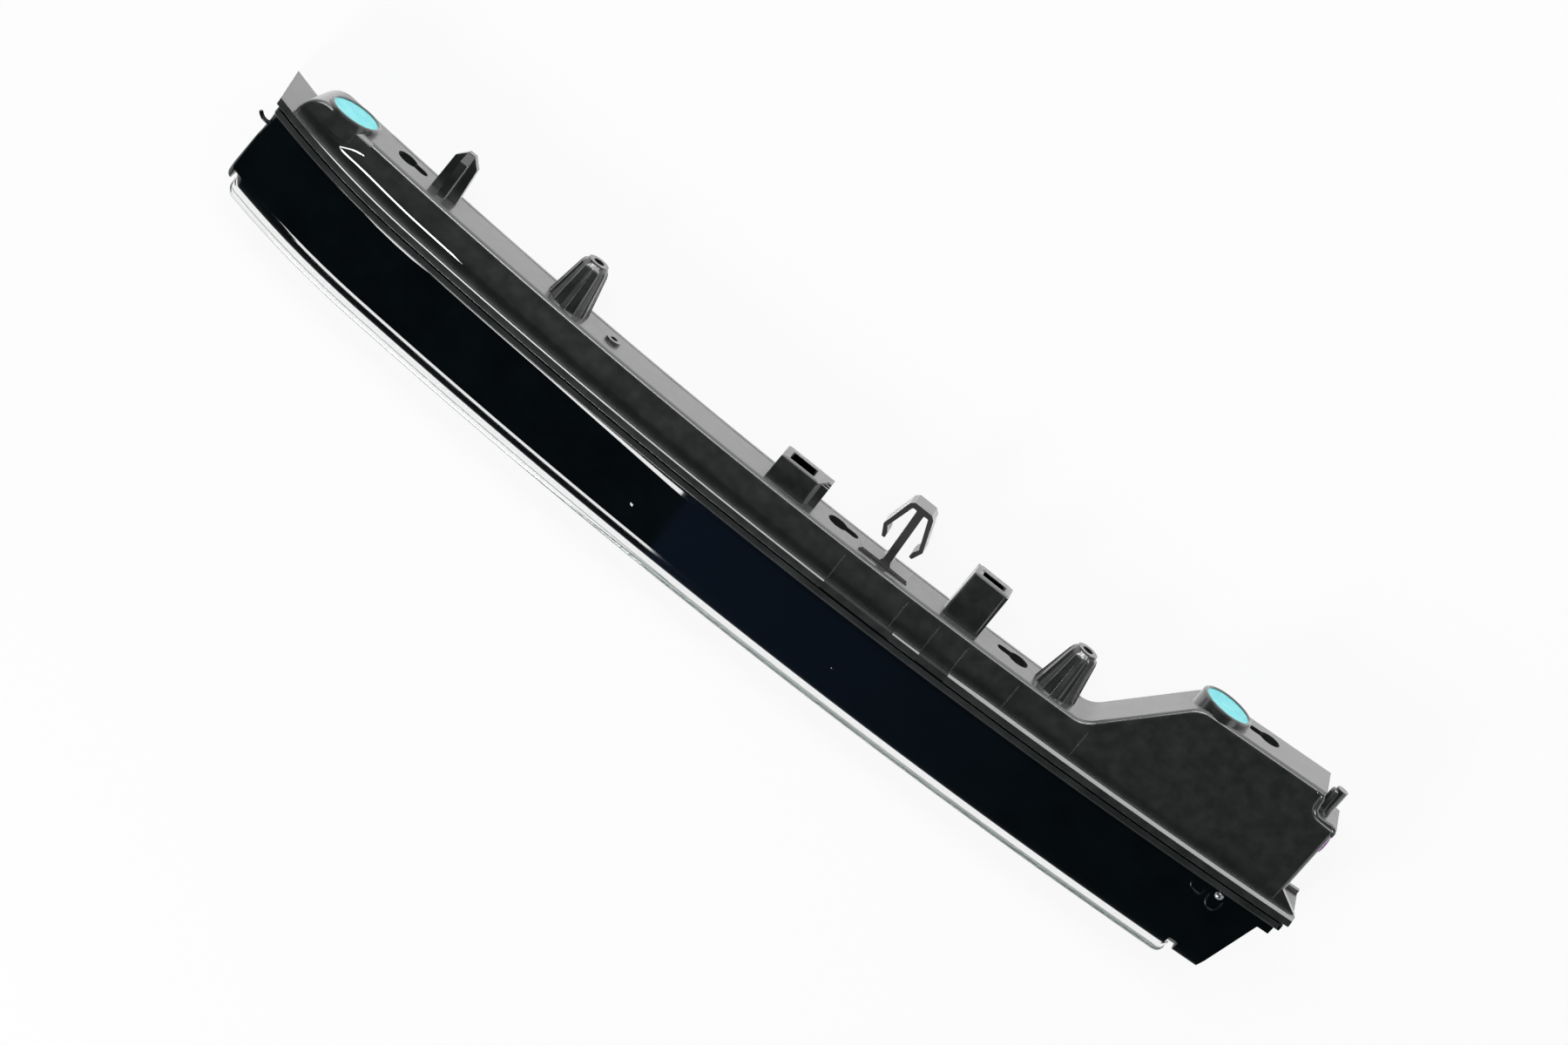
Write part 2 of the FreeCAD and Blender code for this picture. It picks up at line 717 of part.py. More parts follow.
def add_keyhole(sketch, centre_x, way):
    """Round end at the given X and a slot that runs to one side of it."""
    middle = size[centre_x]
    level_of_key = size["key_z"]
    big = size["key_radius"]
    small = size["key_slot_half"]
    reach = size["key_slot_reach"] * way
    lift = math.asin(small / big)
    up = FreeCAD.Vector(0, 0, 1)
    round_circle = Part.Circle(FreeCAD.Vector(middle, level_of_key, 0), up, big)
    nose_circle = Part.Circle(FreeCAD.Vector(middle + reach, level_of_key, 0), up, small)
    round_span = (lift, 2 * math.pi - lift)
    nose_span = (-math.pi / 2, math.pi / 2)
    joins = [("Coincident", 0, 1, 1, 1), ("Coincident", 0, 2, 2, 1), ("Tangent", 1, 2, 3, 2), ("Tangent", 2, 2, 3, 1)]
    if way < 0:
        round_span = (lift - math.pi, math.pi - lift)
        nose_span = (math.pi / 2, 3 * math.pi / 2)
        joins = [("Coincident", 0, 2, 1, 1), ("Coincident", 0, 1, 2, 1), ("Tangent", 1, 2, 3, 1), ("Tangent", 2, 2, 3, 2)]
    meet_x = middle + way * big * math.cos(lift)
    sketch.addGeometry(Part.ArcOfCircle(round_circle, *round_span), False)
    for level in (level_of_key + small, level_of_key - small):
        near = FreeCAD.Vector(meet_x, level, 0)
        sketch.addGeometry(Part.LineSegment(near, FreeCAD.Vector(middle + reach, level, 0)), False)
    sketch.addGeometry(Part.ArcOfCircle(nose_circle, *nose_span), False)
    joins += [("Horizontal", 1), ("Horizontal", 2)]
    sketch.addConstraint([Sketcher.Constraint(*join) for join in joins])
    hold(sketch, "DistanceX", 0, 3, centre_x, middle)
    hold(sketch, "DistanceY", 0, 3, "key_z", level_of_key)
    hold(sketch, "DistanceX", 3, 3, "%s + %d * key_slot_reach" % (centre_x, way), middle + reach)
    hold(sketch, "DistanceY", 3, 3, "key_z", level_of_key)
    for item, radius in ((0, "key_radius"), (3, "key_slot_half")):
        index = sketch.addConstraint(Sketcher.Constraint("Radius", item, size[radius]))
        bind(sketch, "Constraints[%d]" % index, radius)


for name, x, surface, way in keyholes:
    start = x + " - key_radius - key_cup"
    if way < 0:
        start = x + " - key_slot_reach - key_slot_half - key_cup"
    joined.append(loose_box(
        name + "_cup", (start, surface + " - key_deep - key_cup", "key_z - key_radius - key_cup"),
        ("key_slot_reach + key_slot_half + key_radius + 2 * key_cup", "key_deep + key_cup - wall / 2",
         "2 * key_radius + 2 * key_cup")))
    hole = new_body(name)
    outline = new_sketch(hole, name + "_outline", "XZ_Plane", ("0", "0", "-(%s) + key_deep" % surface))
    add_keyhole(outline, x, way)
    pad(hole, name + "_pad", outline, "key_deep + 4", back=True)
    cuts.append(hole)

# Small ring boss, seat of the spreader clip and corner peg
tip = rear("ring_x") + " + ring_reach"
joined.append(loose_rod("ring", ("ring_x", tip, "ring_z"), "ring_radius", "ring_reach + wall / 2"))
cuts.append(loose_rod("ring_hole", ("ring_x", tip + " + 1", "ring_z"), "ring_hole_radius", "ring_reach + wall / 3 + 1"))
joined.append(loose_box(
    "clip_seat", ("clip_x - clip_seat_width / 2", rear("clip_x") + " - wall / 2", "-clip_depth / 2 - 1"),
    ("clip_seat_width", "wall / 2 + clip_seat_reach", "clip_depth + 2")))
peg_x = "body_right - notch_width / 2 - 1"
joined.append(loose_rod("corner_peg", (peg_x, box_rear("body_right") + " + peg_proud", "peg_z"), "peg_radius",
                        "notch_depth + peg_proud + wall / 2"))

# Posts inside: three for the tray, two for the heat sink, four for the driver board
arms = [("left", "tray_arm_left"), ("mid", "tray_arm_mid"), ("right", "tray_arm_right")]
for side, x in arms:
    root = rear(x) + " - wall / 2"
    joined.append(loose_rod(side + "_tray_post", (x, root, TRAY_LEVEL), "tray_post_radius",
                            root + " - (%s + tray_post_deep)" % joint(x)))
    cuts.append(loose_rod(
        side + "_tray_pilot", (x, joint(x) + " + tray_post_deep + screw_length - tray_wall", TRAY_LEVEL),
        "screw_radius", "screw_length - tray_wall + 1"))
guide_front = "(-lens_depth + wall + blade_tail + guide_gap)"
guide_back = "(%s + rod_depth)" % guide_front
sink_x = "(rod_right + source_gap + emitter_thick + source_board_thick)"
source_front = "(%s + %s)" % (joint("rod_right"), guide_front)
sink_rear = "(board_front - sink_gap)"
sink_post_y = sink_rear + " - sink_foot_depth / 2"
sink_floor = "(%s + sink_post_height)" % FLOOR
sink_foot_thick = "(-source_board_height / 2 - %s)" % sink_floor
sink_places = [
    ("left", sink_x + " + sink_thick - sink_foot_width + 4"),
    ("right", sink_x + " - 5"),
]
below = FLOOR + " - wall / 2"
for side, x in sink_places:
    joined.append(loose_post(side + "_sink_post", (x, sink_post_y, below), "board_post_radius",
                             "sink_post_height + wall / 2"))
    cuts.append(loose_post(
        side + "_sink_pilot", (x, sink_post_y, "-source_board_height / 2 - sink_screw_length"), "screw_radius",
        "sink_screw_length"))
board_floor = "(%s + board_lift)" % FLOOR
board_top = "(%s + board_thick)" % board_floor
board_places = []
for x in ("board_left + board_post_inset", "board_right - board_post_inset"):
    for y in ("board_front + board_post_inset", "board_rear - board_post_inset"):
        board_places.append((x, y))
for index, (x, y) in enumerate(board_places):
    joined.append(loose_post("board_post_%d" % index, (x, y, below), "board_post_radius", "board_lift + wall / 2"))
    cuts.append(loose_post("board_pilot_%d" % index, (x, y, board_top + " - screw_length"), "screw_radius",
                           "screw_length"))

whole = doc.addObject("Part::MultiFuse", "housing_joined")
whole.Shapes = joined
done = doc.addObject("Part::Cut", "rear_housing")
done.Label = "rear_housing"
done.Base = whole
done.Tool = group("housing_cuts", cuts)
doc.recompute()

# Outer lens: glossy shell that narrows to the front
lens = new_body("outer_lens")
lens_face = "-seal_thick / 2"
shell = symmetric([
    (lens_face, "lens_flange_height / 2"),
    (lens_face + " - lens_flange_thick", "lens_flange_height / 2"),
    (lens_face + " - lens_flange_thick", "lens_rear_height / 2"),
    ("-lens_depth", "lens_front_height / 2"),
])
run(lens, "shell", [shell], "Revolution", "lens_flange_right + 4", "end_left + 16")
slanted_end(lens, "lens_outboard_end", "lens_end_inset")
lean = "((lens_right_rear - lens_right_front) / (lens_depth - lens_foot_depth))"
foot_y = joint("lens_foot_right") + " - lens_foot_depth"
flange_y = joint("lens_foot_right") + " - seal_thick / 2 - lens_flange_thick"
outline = new_sketch(lens, "lens_inboard_outline", "XY_Plane")
add_polygon(outline, [
    ("lens_flange_right", "40"),
    ("lens_flange_right", flange_y),
    ("lens_foot_right", flange_y),
    ("lens_foot_right", foot_y),
    ("lens_right_rear", foot_y),
    ("lens_right_front - 20 * " + lean, foot_y + " - lens_depth + lens_foot_depth - 20"),
    ("lens_flange_right + 40", foot_y + " - lens_depth + lens_foot_depth - 20"),
    ("lens_flange_right + 40", "40"),
])
pad(lens, "lens_inboard_end", outline, "200", "Pocket", "Symmetric")
front_y = -size["part_plane"] - size["lens_depth"]
front_z = size["lens_front_height"] / 2
rounded(lens, "lens_front_edges", edges_through(lens.Tip.Shape, [(0, front_y, front_z), (0, front_y, -front_z)]),
        "lens_round")
inner_rear = "lens_rear_height / 2 - wall - 0.2"
inner_front = "lens_front_height / 2 - wall + 0.3"
hollow = symmetric([
    ("6", inner_rear),
    (lens_face + " - lens_flange_thick", inner_rear),
    ("-lens_depth + wall", inner_front),
])
run(lens, "lens_room", [hollow], "Groove", "lens_cavity_right", "end_left - lens_end_wall", "-lens_depth")
slot = symmetric([("-lens_depth - 8", "blade_height / 2"), ("-lens_depth + wall + 1", "blade_height / 2")])
run(lens, "blade_slot", [slot], "Groove", "blade_right + slot_end_room", "blade_left", "-lens_depth")

# Sunk facet at the outboard rear corner
facet_y = joint("end_left - 8")
facet = new_sketch(lens, "facet_outline", "XY_Plane", ("0", "0", "lens_rear_height / 2 - facet_sink"))
add_polygon(facet, [
    ("-end_left - 20", facet_y + " + 6"),
    ("-end_left - 20", facet_y + " - facet_depth + 4"),
    ("-end_left + facet_front", facet_y + " - facet_depth + 2"),
    ("-end_left + facet_rear", facet_y + " + 1"),
])
pad(lens, "facet", facet, "1.4", "Pocket", back=True)

# Sealant bead between the flanges
seal = new_body("joint_seal")
bead = symmetric([(lens_face, "seal_height / 2"), (face, "seal_height / 2")])
run(seal, "bead", [bead], "Revolution", "lens_flange_right - seal_inset", "end_left + 12")
slanted_end(seal, "bead_outboard_end", "lens_end_inset + seal_inset")
hollow = symmetric([("-3", "seal_height / 2 - seal_band"), ("3", "seal_height / 2 - seal_band")])
run(seal, "bead_window", [hollow], "Groove", "lens_flange_right - seal_inset - seal_band",
    "end_left - seal_inset - 2 * seal_band")

# Light blade: tail inside the lens, web through the slot, stepped rim outside
blade = new_body("light_blade")
web = "blade_height / 2"
profile = symmetric([
    ("-lens_depth + wall + blade_tail", web + " + 0.8"),
    ("-lens_depth + wall", web + " + 0.8"),
    ("-lens_depth + wall", web),
    ("-blade_reach + blade_rim", web),
    ("-blade_reach + blade_rim", web + " - blade_rim_step"),
    ("-blade_reach", web + " - blade_rim_step"),
])
run(blade, "blade_bar", [profile], "Revolution", "blade_right", "blade_left - 1", "-lens_depth")
rim_y = -size["part_plane"] - size["blade_reach"]
rim_z = size["blade_height"] / 2 - size["blade_rim_step"]
rounded(blade, "blade_nose", edges_through(blade.Tip.Shape, [(0, rim_y, rim_z), (0, rim_y, -rim_z)]), "blade_rim / 2")

# Light guide bar behind the blade
guide = new_body("light_guide")
bar = symmetric([(guide_front, "rod_height / 2"), (guide_back, "rod_height / 2")])
run(guide, "guide_bar", [bar], "Revolution", "rod_right", "rod_left", guide_front)

# Reflector tray: white channel that holds the guide, with three arms to the housing posts
tray = new_body("reflector_tray")
channel = symmetric([
    (guide_back + " + tray_wall", "rod_height / 2 + tray_wall"),
    (guide_front + " + 1", "rod_height / 2 + tray_wall"),
    (guide_front + " + 1", "rod_height / 2"),
    (guide_back, "rod_height / 2"),
])
run(tray, "channel", [channel], "Revolution", "rod_right - 1", "rod_left - 1", guide_front)
arm_top = "(%s - screw_head_radius - head_gap)" % TRAY_LEVEL
for side, x in arms:
    tab_y = "(%s + tray_post_deep - tray_wall)" % joint(x)
    arm_y = "(%s + %s + 0.6)" % (joint(x), guide_back)
    solid_box(tray, side + "_arm", "AdditiveBox", (x + " - tray_arm_width / 2", arm_y, arm_top + " - tray_wall"),
              ("tray_arm_width", tab_y + " - " + arm_y + " + tray_wall", "tray_wall"))
    solid_box(tray, side + "_tab", "AdditiveBox", (x + " - tray_arm_width / 2", tab_y, arm_top + " - tray_wall"),
              ("tray_arm_width", "tray_wall", "2 * screw_head_radius + head_gap * 2 + tray_wall"))
    rod(tray, side + "_tab_hole", "SubtractiveCylinder", (x, tab_y + " + tray_wall + 1", TRAY_LEVEL),
        "screw_radius", "tray_wall + 2")

# Spreader clip: stem, foot and two sprung arms with barbs
clip = new_body("spreader_clip")
seat = "(%s + clip_seat_reach)" % rear("clip_x")
head = "(%s + clip_tall)" % seat
right_side = [
    ("clip_seat_width / 2 - 1", seat),
    ("clip_seat_width / 2 - 1", seat + " + clip_foot_thick"),
    ("clip_stem_half + 0.8", seat + " + clip_foot_thick"),
    ("clip_stem_half", seat + " + clip_foot_thick + 2"),
    ("clip_stem_half", head + " - 4"),
    ("clip_stem_half + 0.9", head + " - 2.6"),
    ("clip_barb_half - clip_arm - 0.2", head + " - clip_tall / 2"),
    ("clip_barb_half - clip_arm - 2", head + " - clip_tall / 2 - 3"),
    ("clip_barb_half - clip_arm - 1.3", head + " - clip_tall / 2 - 4.4"),
    ("clip_barb_half", head + " - clip_tall / 2 - 0.6"),
    ("clip_head_half", head + " - 0.7"),
    ("clip_head_half - 0.7", head),
]
corners = [("clip_x + " + across, y) for across, y in right_side]
corners += [("clip_x - (%s)" % across, y) for across, y in reversed(right_side)]
outline = new_sketch(clip, "clip_outline", "XY_Plane")
add_polygon(outline, corners)
pad(clip, "clip_band", outline, "clip_depth", side="Symmetric")

# Patches on the vent collars and on the inboard end wall
for label, x, z, tip in (("outboard_vent_patch",) + vents[0][1:], ("inboard_vent_patch",) + vents[1][1:]):
    patch = new_body(label)
    rod(patch, label + "_disc", "AdditiveCylinder", (x, tip + " - patch_sunk + patch_thick", z), "patch_radius - 0.1",
        "patch_thick")
patch = new_body("end_seal_patch")
outline = new_sketch(patch, "end_patch_outline", "YZ_Plane", ("0", "0", "body_right"))
add_circle(outline, "end_patch_y", "end_patch_z", "end_patch_radius")
pad(patch, "end_patch_disc", outline, "end_patch_thick")

# Connector insert with its three pins, plug behind it and lead along the housing floor
insert = new_body("connector_insert")
insert_front = "(%s - wall - insert_thick + 2)" % rear("connector_x")
solid_box(insert, "insert_flange_plate", "AdditiveBox",
          ("connector_x - plug_way_width / 2 - insert_flange", insert_front, "-plug_way_height / 2 - insert_flange"),
          ("plug_way_width + 2 * insert_flange", "insert_thick - 2 - fit_gap", "plug_way_height + 2 * insert_flange"))
solid_box(insert, "insert_core", "AdditiveBox",
          ("connector_x - plug_way_width / 2", insert_front, "-plug_way_height / 2"),
          ("plug_way_width", "insert_thick", "plug_way_height"))
pin_boxes = []
for index in (-1, 0, 1):
    corner = ("connector_x + %d * pin_pitch - pin_blade_width / 2" % index, insert_front, "-pin_blade_thick / 2")
    solid_box(insert, "pin_way_%d" % (index + 1), "SubtractiveBox", corner,
              ("pin_blade_width", "insert_thick + 2", "pin_blade_thick"))
    pin = doc.addObject("Part::Box", "pin_%d" % (index + 1))
    for letter, text in zip("xyz", corner):
        bind(pin, "Placement.Base." + letter, text)
    bind(pin, "Length", "pin_blade_width")
    bind(pin, "Width", "insert_thick + shroud_reach - 2.4")
    bind(pin, "Height", "pin_blade_thick")
    pin_boxes.append(pin)

group("connector_pins", pin_boxes)
plug = new_body("lead_plug")
solid_box(plug, "plug_block", "AdditiveBox", ("-plug_width", insert_front + " - plug_depth", FLOOR),
          ("plug_width", "plug_depth", "plug_top - " + FLOOR))
solid_box(plug, "plug_step", "SubtractiveBox", ("-plug_width - 1", insert_front + " - plug_depth - 1", "plug_top - 3"),
          ("plug_width + 2", "plug_depth / 2", "4"))
lead = new_body("supply_lead")
lead.AllowCompound = True
ends = new_sketch(lead, "lead_section", "YZ_Plane")
add_axis(ends, "bow_radius - part_plane")
for number in (0, 1):
    add_circle(ends, "-part_plane + lead_deep + %d * lead_pitch" % number, FLOOR + " + lead_radius", "lead_radius")
socket_x = "board_left - socket_width"
turned(lead, "lead_wires", ends, "Revolution", "asin((%s - 0.2) / (bow_radius - lead_deep))" % socket_x)
socket = new_body("lead_socket")
socket_y = joint("board_left") + " + lead_deep - 2.4"
solid_box(socket, "socket_block", "AdditiveBox", (socket_x, socket_y, FLOOR),
          ("socket_width", "socket_depth", "socket_height"))
solid_box(socket, "socket_way", "SubtractiveBox", (socket_x + " + 2", socket_y + " + 1.4", FLOOR + " + 2.4"),
          ("socket_width - 4", "socket_depth - 2.8", "socket_height"))

# Driver board and what is soldered to it
board = new_body("driver_board")
solid_box(board, "board_plate", "AdditiveBox", ("board_left", "board_front", board_floor),
          ("board_right - board_left", "board_rear - board_front", "board_thick"))
for index, (x, y) in enumerate(board_places):
    post(board, "board_hole_%d" % index, "SubtractiveCylinder", (x, y, board_floor + " - 1"), "screw_radius",
         "board_thick + 2")
middle_y = "(board_front + board_rear) / 2"
chip = new_body("driver_chip")
solid_box(chip, "chip_block", "AdditiveBox",
          ("board_left + 14 - chip_side / 2", middle_y + " - chip_side / 2", board_top),
          ("chip_side", "chip_side", "chip_thick"))
post(chip, "chip_mark", "SubtractiveCylinder",
     ("board_left + 14 - chip_side / 3", middle_y + " - chip_side / 3", board_top + " + chip_thick - 0.2"),
     "chip_side / 14", "1")
coil = new_body("power_coil")
solid_box(coil, "coil_block", "AdditiveBox",
          ("board_left + 25 - coil_side / 2", middle_y + " - coil_side / 2", board_top),
          ("coil_side", "coil_side", "coil_thick"))
post(coil, "coil_dish", "SubtractiveCylinder",
     ("board_left + 25", middle_y, board_top + " + coil_thick - 0.5"), "coil_side / 3", "1")
cans = []
for index, y in enumerate(("board_rear - 8", "board_front + 11")):
    can = doc.addObject("Part::Cylinder", "can_%d" % index)
    bind(can, "Placement.Base.x", "board_left + 36")
    bind(can, "Placement.Base.y", y)
    bind(can, "Placement.Base.z", board_top)
    bind(can, "Radius", "can_radius")
    bind(can, "Height", "can_height")
    cans.append(can)
group("filter_capacitors", cans)
header = new_body("source_header")
header_x = sink_x + " - source_board_thick / 2"
solid_box(header, "header_block", "AdditiveBox", (header_x + " - header_width / 2", "board_front", board_top),
          ("header_width", "header_depth", "header_height"))

# Light source: board across the end of the guide, two emitters, heat sink and the short lead
source = new_body("source_board")
board_x = "(rod_right + source_gap + emitter_thick)"
solid_box(source, "source_plate", "AdditiveBox", (board_x, source_front, "-source_board_height / 2"),
          ("source_board_thick", "source_board_depth", "source_board_height"))
emitters = []
guide_middle = "(%s + %s + rod_depth / 2)" % (joint("rod_right"), guide_front)
for index, way in enumerate((-1, 1)):
    emitter = doc.addObject("Part::Box", "emitter_%d" % index)
    bind(emitter, "Placement.Base.x", "rod_right + source_gap")
    bind(emitter, "Placement.Base.y", guide_middle + " + %d * emitter_pitch / 2 - emitter_side / 2" % way)
    bind(emitter, "Placement.Base.z", "-emitter_side / 2")
    bind(emitter, "Length", "emitter_thick")
    bind(emitter, "Width", "emitter_side")
    bind(emitter, "Height", "emitter_side")
    emitters.append(emitter)
group("source_emitters", emitters)
sink = new_body("heat_sink")
solid_box(sink, "sink_plate", "AdditiveBox", (sink_x, source_front, "-source_board_height / 2"),
          ("sink_thick", sink_rear + " - " + source_front, "source_board_height"))
solid_box(sink, "sink_foot", "AdditiveBox",
          (sink_x + " + sink_thick - sink_foot_width", sink_rear + " - sink_foot_depth", sink_floor),
          ("sink_foot_width", "sink_foot_depth", sink_foot_thick))
for side, x in sink_places:
    post(sink, side + "_sink_hole", "SubtractiveCylinder", (x, sink_post_y, sink_floor + " - 1"), "screw_radius",
         sink_foot_thick + " + 2")
wires = []
source_rear = "(%s + source_board_depth)" % source_front
for index, way in enumerate((-1, 1)):
    wire = doc.addObject("Part::Cylinder", "source_wire_%d" % index)
    wire.Placement = FreeCAD.Placement(FreeCAD.Vector(), FreeCAD.Rotation(FreeCAD.Vector(1, 0, 0), -90))
    bind(wire, "Placement.Base.x", header_x)
    bind(wire, "Placement.Base.y", source_rear)
    bind(wire, "Placement.Base.z", "%s + header_height / 2 + %d * source_lead_half" % (board_top, way))
    bind(wire, "Radius", "source_lead_radius")
    bind(wire, "Height", "board_front - " + source_rear)
    wires.append(wire)
group("source_lead", wires)


# Small screws: round head with a six-sided socket and a plain shank
def screw(name, place_texts, turn, length="screw_length"):
    parts = []
    for part, kind in (("shank", "Part::Cylinder"), ("head", "Part::Cylinder"), ("socket", "Part::Prism")):
        parts.append(doc.addObject(kind, name + "_" + part))
    shank, head_disc, recess = parts
    bind(shank, "Radius", "screw_radius")
    bind(shank, "Height", length)
    bind(shank, "Placement.Base.z", "-" + length)
    bind(head_disc, "Radius", "screw_head_radius")
    bind(head_disc, "Height", "screw_head_thick")
    recess.Polygon = 6
    bind(recess, "Circumradius", "screw_socket")
    bind(recess, "Height", "screw_head_thick")
    bind(recess, "Placement.Base.z", "screw_head_thick / 3")
    whole = doc.addObject("Part::Fuse", name + "_blank")
    whole.Base = head_disc
    whole.Tool = shank
    done = doc.addObject("Part::Cut", name)
    done.Base = whole
    done.Tool = recess
    done.Placement = FreeCAD.Placement(FreeCAD.Vector(), turn)
    for letter, text in zip("xyz", place_texts):
        bind(done, "Placement.Base." + letter, text)
    return done


upright = FreeCAD.Rotation()
tray_screws = []
for side, x in arms:
    head_y = joint(x) + " + tray_post_deep - tray_wall"
    tray_screws.append(screw("tray_screw_" + side, (x, head_y, TRAY_LEVEL), FORWARD))
group("tray_screws", tray_screws)
sink_screws = []
for side, x in sink_places:
    sink_screws.append(screw("sink_screw_" + side, (x, sink_post_y, "-source_board_height / 2"), upright,
                             "sink_screw_length"))
group("sink_screws", sink_screws)
board_screws = []
for index, (x, y) in enumerate(board_places):
    board_screws.append(screw("board_screw_%d" % index, (x, y, board_top), upright))
group("board_screws", board_screws)

NODES = [
    "rear_housing", "outer_lens", "light_blade", "joint_seal", "light_guide", "reflector_tray", "tray_screws",
    "spreader_clip", "outboard_vent_patch", "inboard_vent_patch", "end_seal_patch", "connector_insert",
    "connector_pins", "lead_plug", "supply_lead", "lead_socket", "driver_board", "driver_chip", "power_coil",
    "filter_capacitors", "source_header", "board_screws", "source_board", "source_emitters", "heat_sink",
    "sink_screws", "source_lead",
]

doc.recompute()
for thing in doc.Objects:
    if "Invalid" in thing.State or "Error" in thing.State:
        raise RuntimeError("%s is %s" % (thing.Label, thing.State))
by_label = {thing.Label: thing for thing in doc.Objects}
os.makedirs("parts", exist_ok=True)
for node in NODES:
    shape = by_label[node].Shape
    if shape.isNull() or not shape.isValid():
        raise RuntimeError("%s has no valid shape" % node)
for node in NODES:
    by_label[node].Shape.exportStep("parts/%s.step" % node)
    box = by_label[node].Shape.BoundBox
    print("%-20s solids %d volume %9.1f box %s" % (
        node, len(by_label[node].Shape.Solids), by_label[node].Shape.Volume,
        " ".join("%.1f" % edge for edge in (box.XMin, box.XMax, box.YMin, box.YMax, box.ZMin, box.ZMax))))
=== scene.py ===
import json
import math

import bmesh
import bpy
from mathutils import Matrix, Vector


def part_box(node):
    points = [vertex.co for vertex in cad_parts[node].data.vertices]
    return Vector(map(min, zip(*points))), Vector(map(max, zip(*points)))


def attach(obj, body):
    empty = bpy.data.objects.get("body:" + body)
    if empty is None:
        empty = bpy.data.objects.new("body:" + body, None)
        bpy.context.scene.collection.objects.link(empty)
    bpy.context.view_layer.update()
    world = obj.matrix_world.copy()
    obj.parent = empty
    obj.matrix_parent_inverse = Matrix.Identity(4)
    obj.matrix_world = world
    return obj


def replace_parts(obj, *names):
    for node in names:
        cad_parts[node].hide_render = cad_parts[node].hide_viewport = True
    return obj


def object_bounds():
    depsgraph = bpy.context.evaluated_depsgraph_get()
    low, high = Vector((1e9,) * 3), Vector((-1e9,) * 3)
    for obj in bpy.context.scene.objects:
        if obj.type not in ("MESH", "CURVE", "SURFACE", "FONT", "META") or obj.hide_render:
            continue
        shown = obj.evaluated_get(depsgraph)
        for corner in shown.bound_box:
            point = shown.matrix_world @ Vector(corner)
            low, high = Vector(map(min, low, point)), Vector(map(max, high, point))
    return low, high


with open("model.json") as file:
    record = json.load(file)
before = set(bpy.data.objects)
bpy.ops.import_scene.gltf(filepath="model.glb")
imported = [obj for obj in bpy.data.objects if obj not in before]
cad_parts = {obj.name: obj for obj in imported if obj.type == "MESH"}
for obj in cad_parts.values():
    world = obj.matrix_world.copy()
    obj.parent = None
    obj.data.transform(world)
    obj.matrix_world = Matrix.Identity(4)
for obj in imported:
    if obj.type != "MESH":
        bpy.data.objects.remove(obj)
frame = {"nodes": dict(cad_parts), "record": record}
cad_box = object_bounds()
nodes = frame["nodes"]
MM = 0.001

# Main places on the bar, in millimetres of the part frame
BOW_RADIUS = 2650.0
END_RADIUS = 330.0
SWEEP_X = 167.0
JOINT = -38.5
TUB_DEPTH = 17.5
BOX_DEPTH = 47.2
TUB_TOP = 12.0
LENS_LEFT = -228.4
LENS_FLANGE_RIGHT = 219.9


# Shader groups shared by several finishes
NOISE_SPAN = (0.3, 0.7)
RELIEF_DEPTH = 0.0002


def new_group(name, inputs, outputs):
    """Empty node group with float inputs and outputs of the given kinds."""
    group = bpy.data.node_groups.new(name, "ShaderNodeTree")
    for label, value in inputs:
        socket = group.interface.new_socket(label, in_out="INPUT", socket_type="NodeSocketFloat")
        socket.default_value = value
    for label in outputs:
        group.interface.new_socket(label, in_out="OUTPUT", socket_type="NodeSocketFloat")
    return group, group.nodes.new("NodeGroupInput"), group.nodes.new("NodeGroupOutput")


def noise(tree, place, detail, scale):
    """Noise over the surface; its scale comes from a socket."""
    node = tree.nodes.new("ShaderNodeTexNoise")
    node.inputs["Detail"].default_value = detail
    tree.links.new(scale, node.inputs["Scale"])
    tree.links.new(place, node.inputs["Vector"])
    return node.outputs["Fac"]


def spread(tree, value, low, high):
    """Maps noise, which mostly keeps within its own span, to another span."""
    node = tree.nodes.new("ShaderNodeMapRange")
    node.inputs["From Min"].default_value = NOISE_SPAN[0]
    node.inputs["From Max"].default_value = NOISE_SPAN[1]
    for socket, end in (("To Min", low), ("To Max", high)):
        if isinstance(end, (int, float)):
            node.inputs[socket].default_value = end
        else:
            tree.links.new(end, node.inputs[socket])
    tree.links.new(value, node.inputs["Value"])
    return node.outputs["Result"]


def make_grain_group():
    """Fine moulding grain with slow clouds of shade and roughness."""
    group, ins, outs = new_group(
        "moulding_grain",
        [("Grain Scale", 2500.0), ("Cloud Scale", 40.0), ("Rough Low", 0.4), ("Rough High", 0.6)],
        ["Shade", "Roughness", "Height"])
    place = group.nodes.new("ShaderNodeTexCoord").outputs["Object"]
    clouds = noise(group, place, 4.0, ins.outputs["Cloud Scale"])
    grain = noise(group, place, 2.0, ins.outputs["Grain Scale"])
    group.links.new(spread(group, clouds, 0.0, 1.0), outs.inputs["Shade"])
    rough = spread(group, clouds, ins.outputs["Rough Low"], ins.outputs["Rough High"])
    group.links.new(rough, outs.inputs["Roughness"])
    group.links.new(grain, outs.inputs["Height"])
    return group


grain_group = make_grain_group()


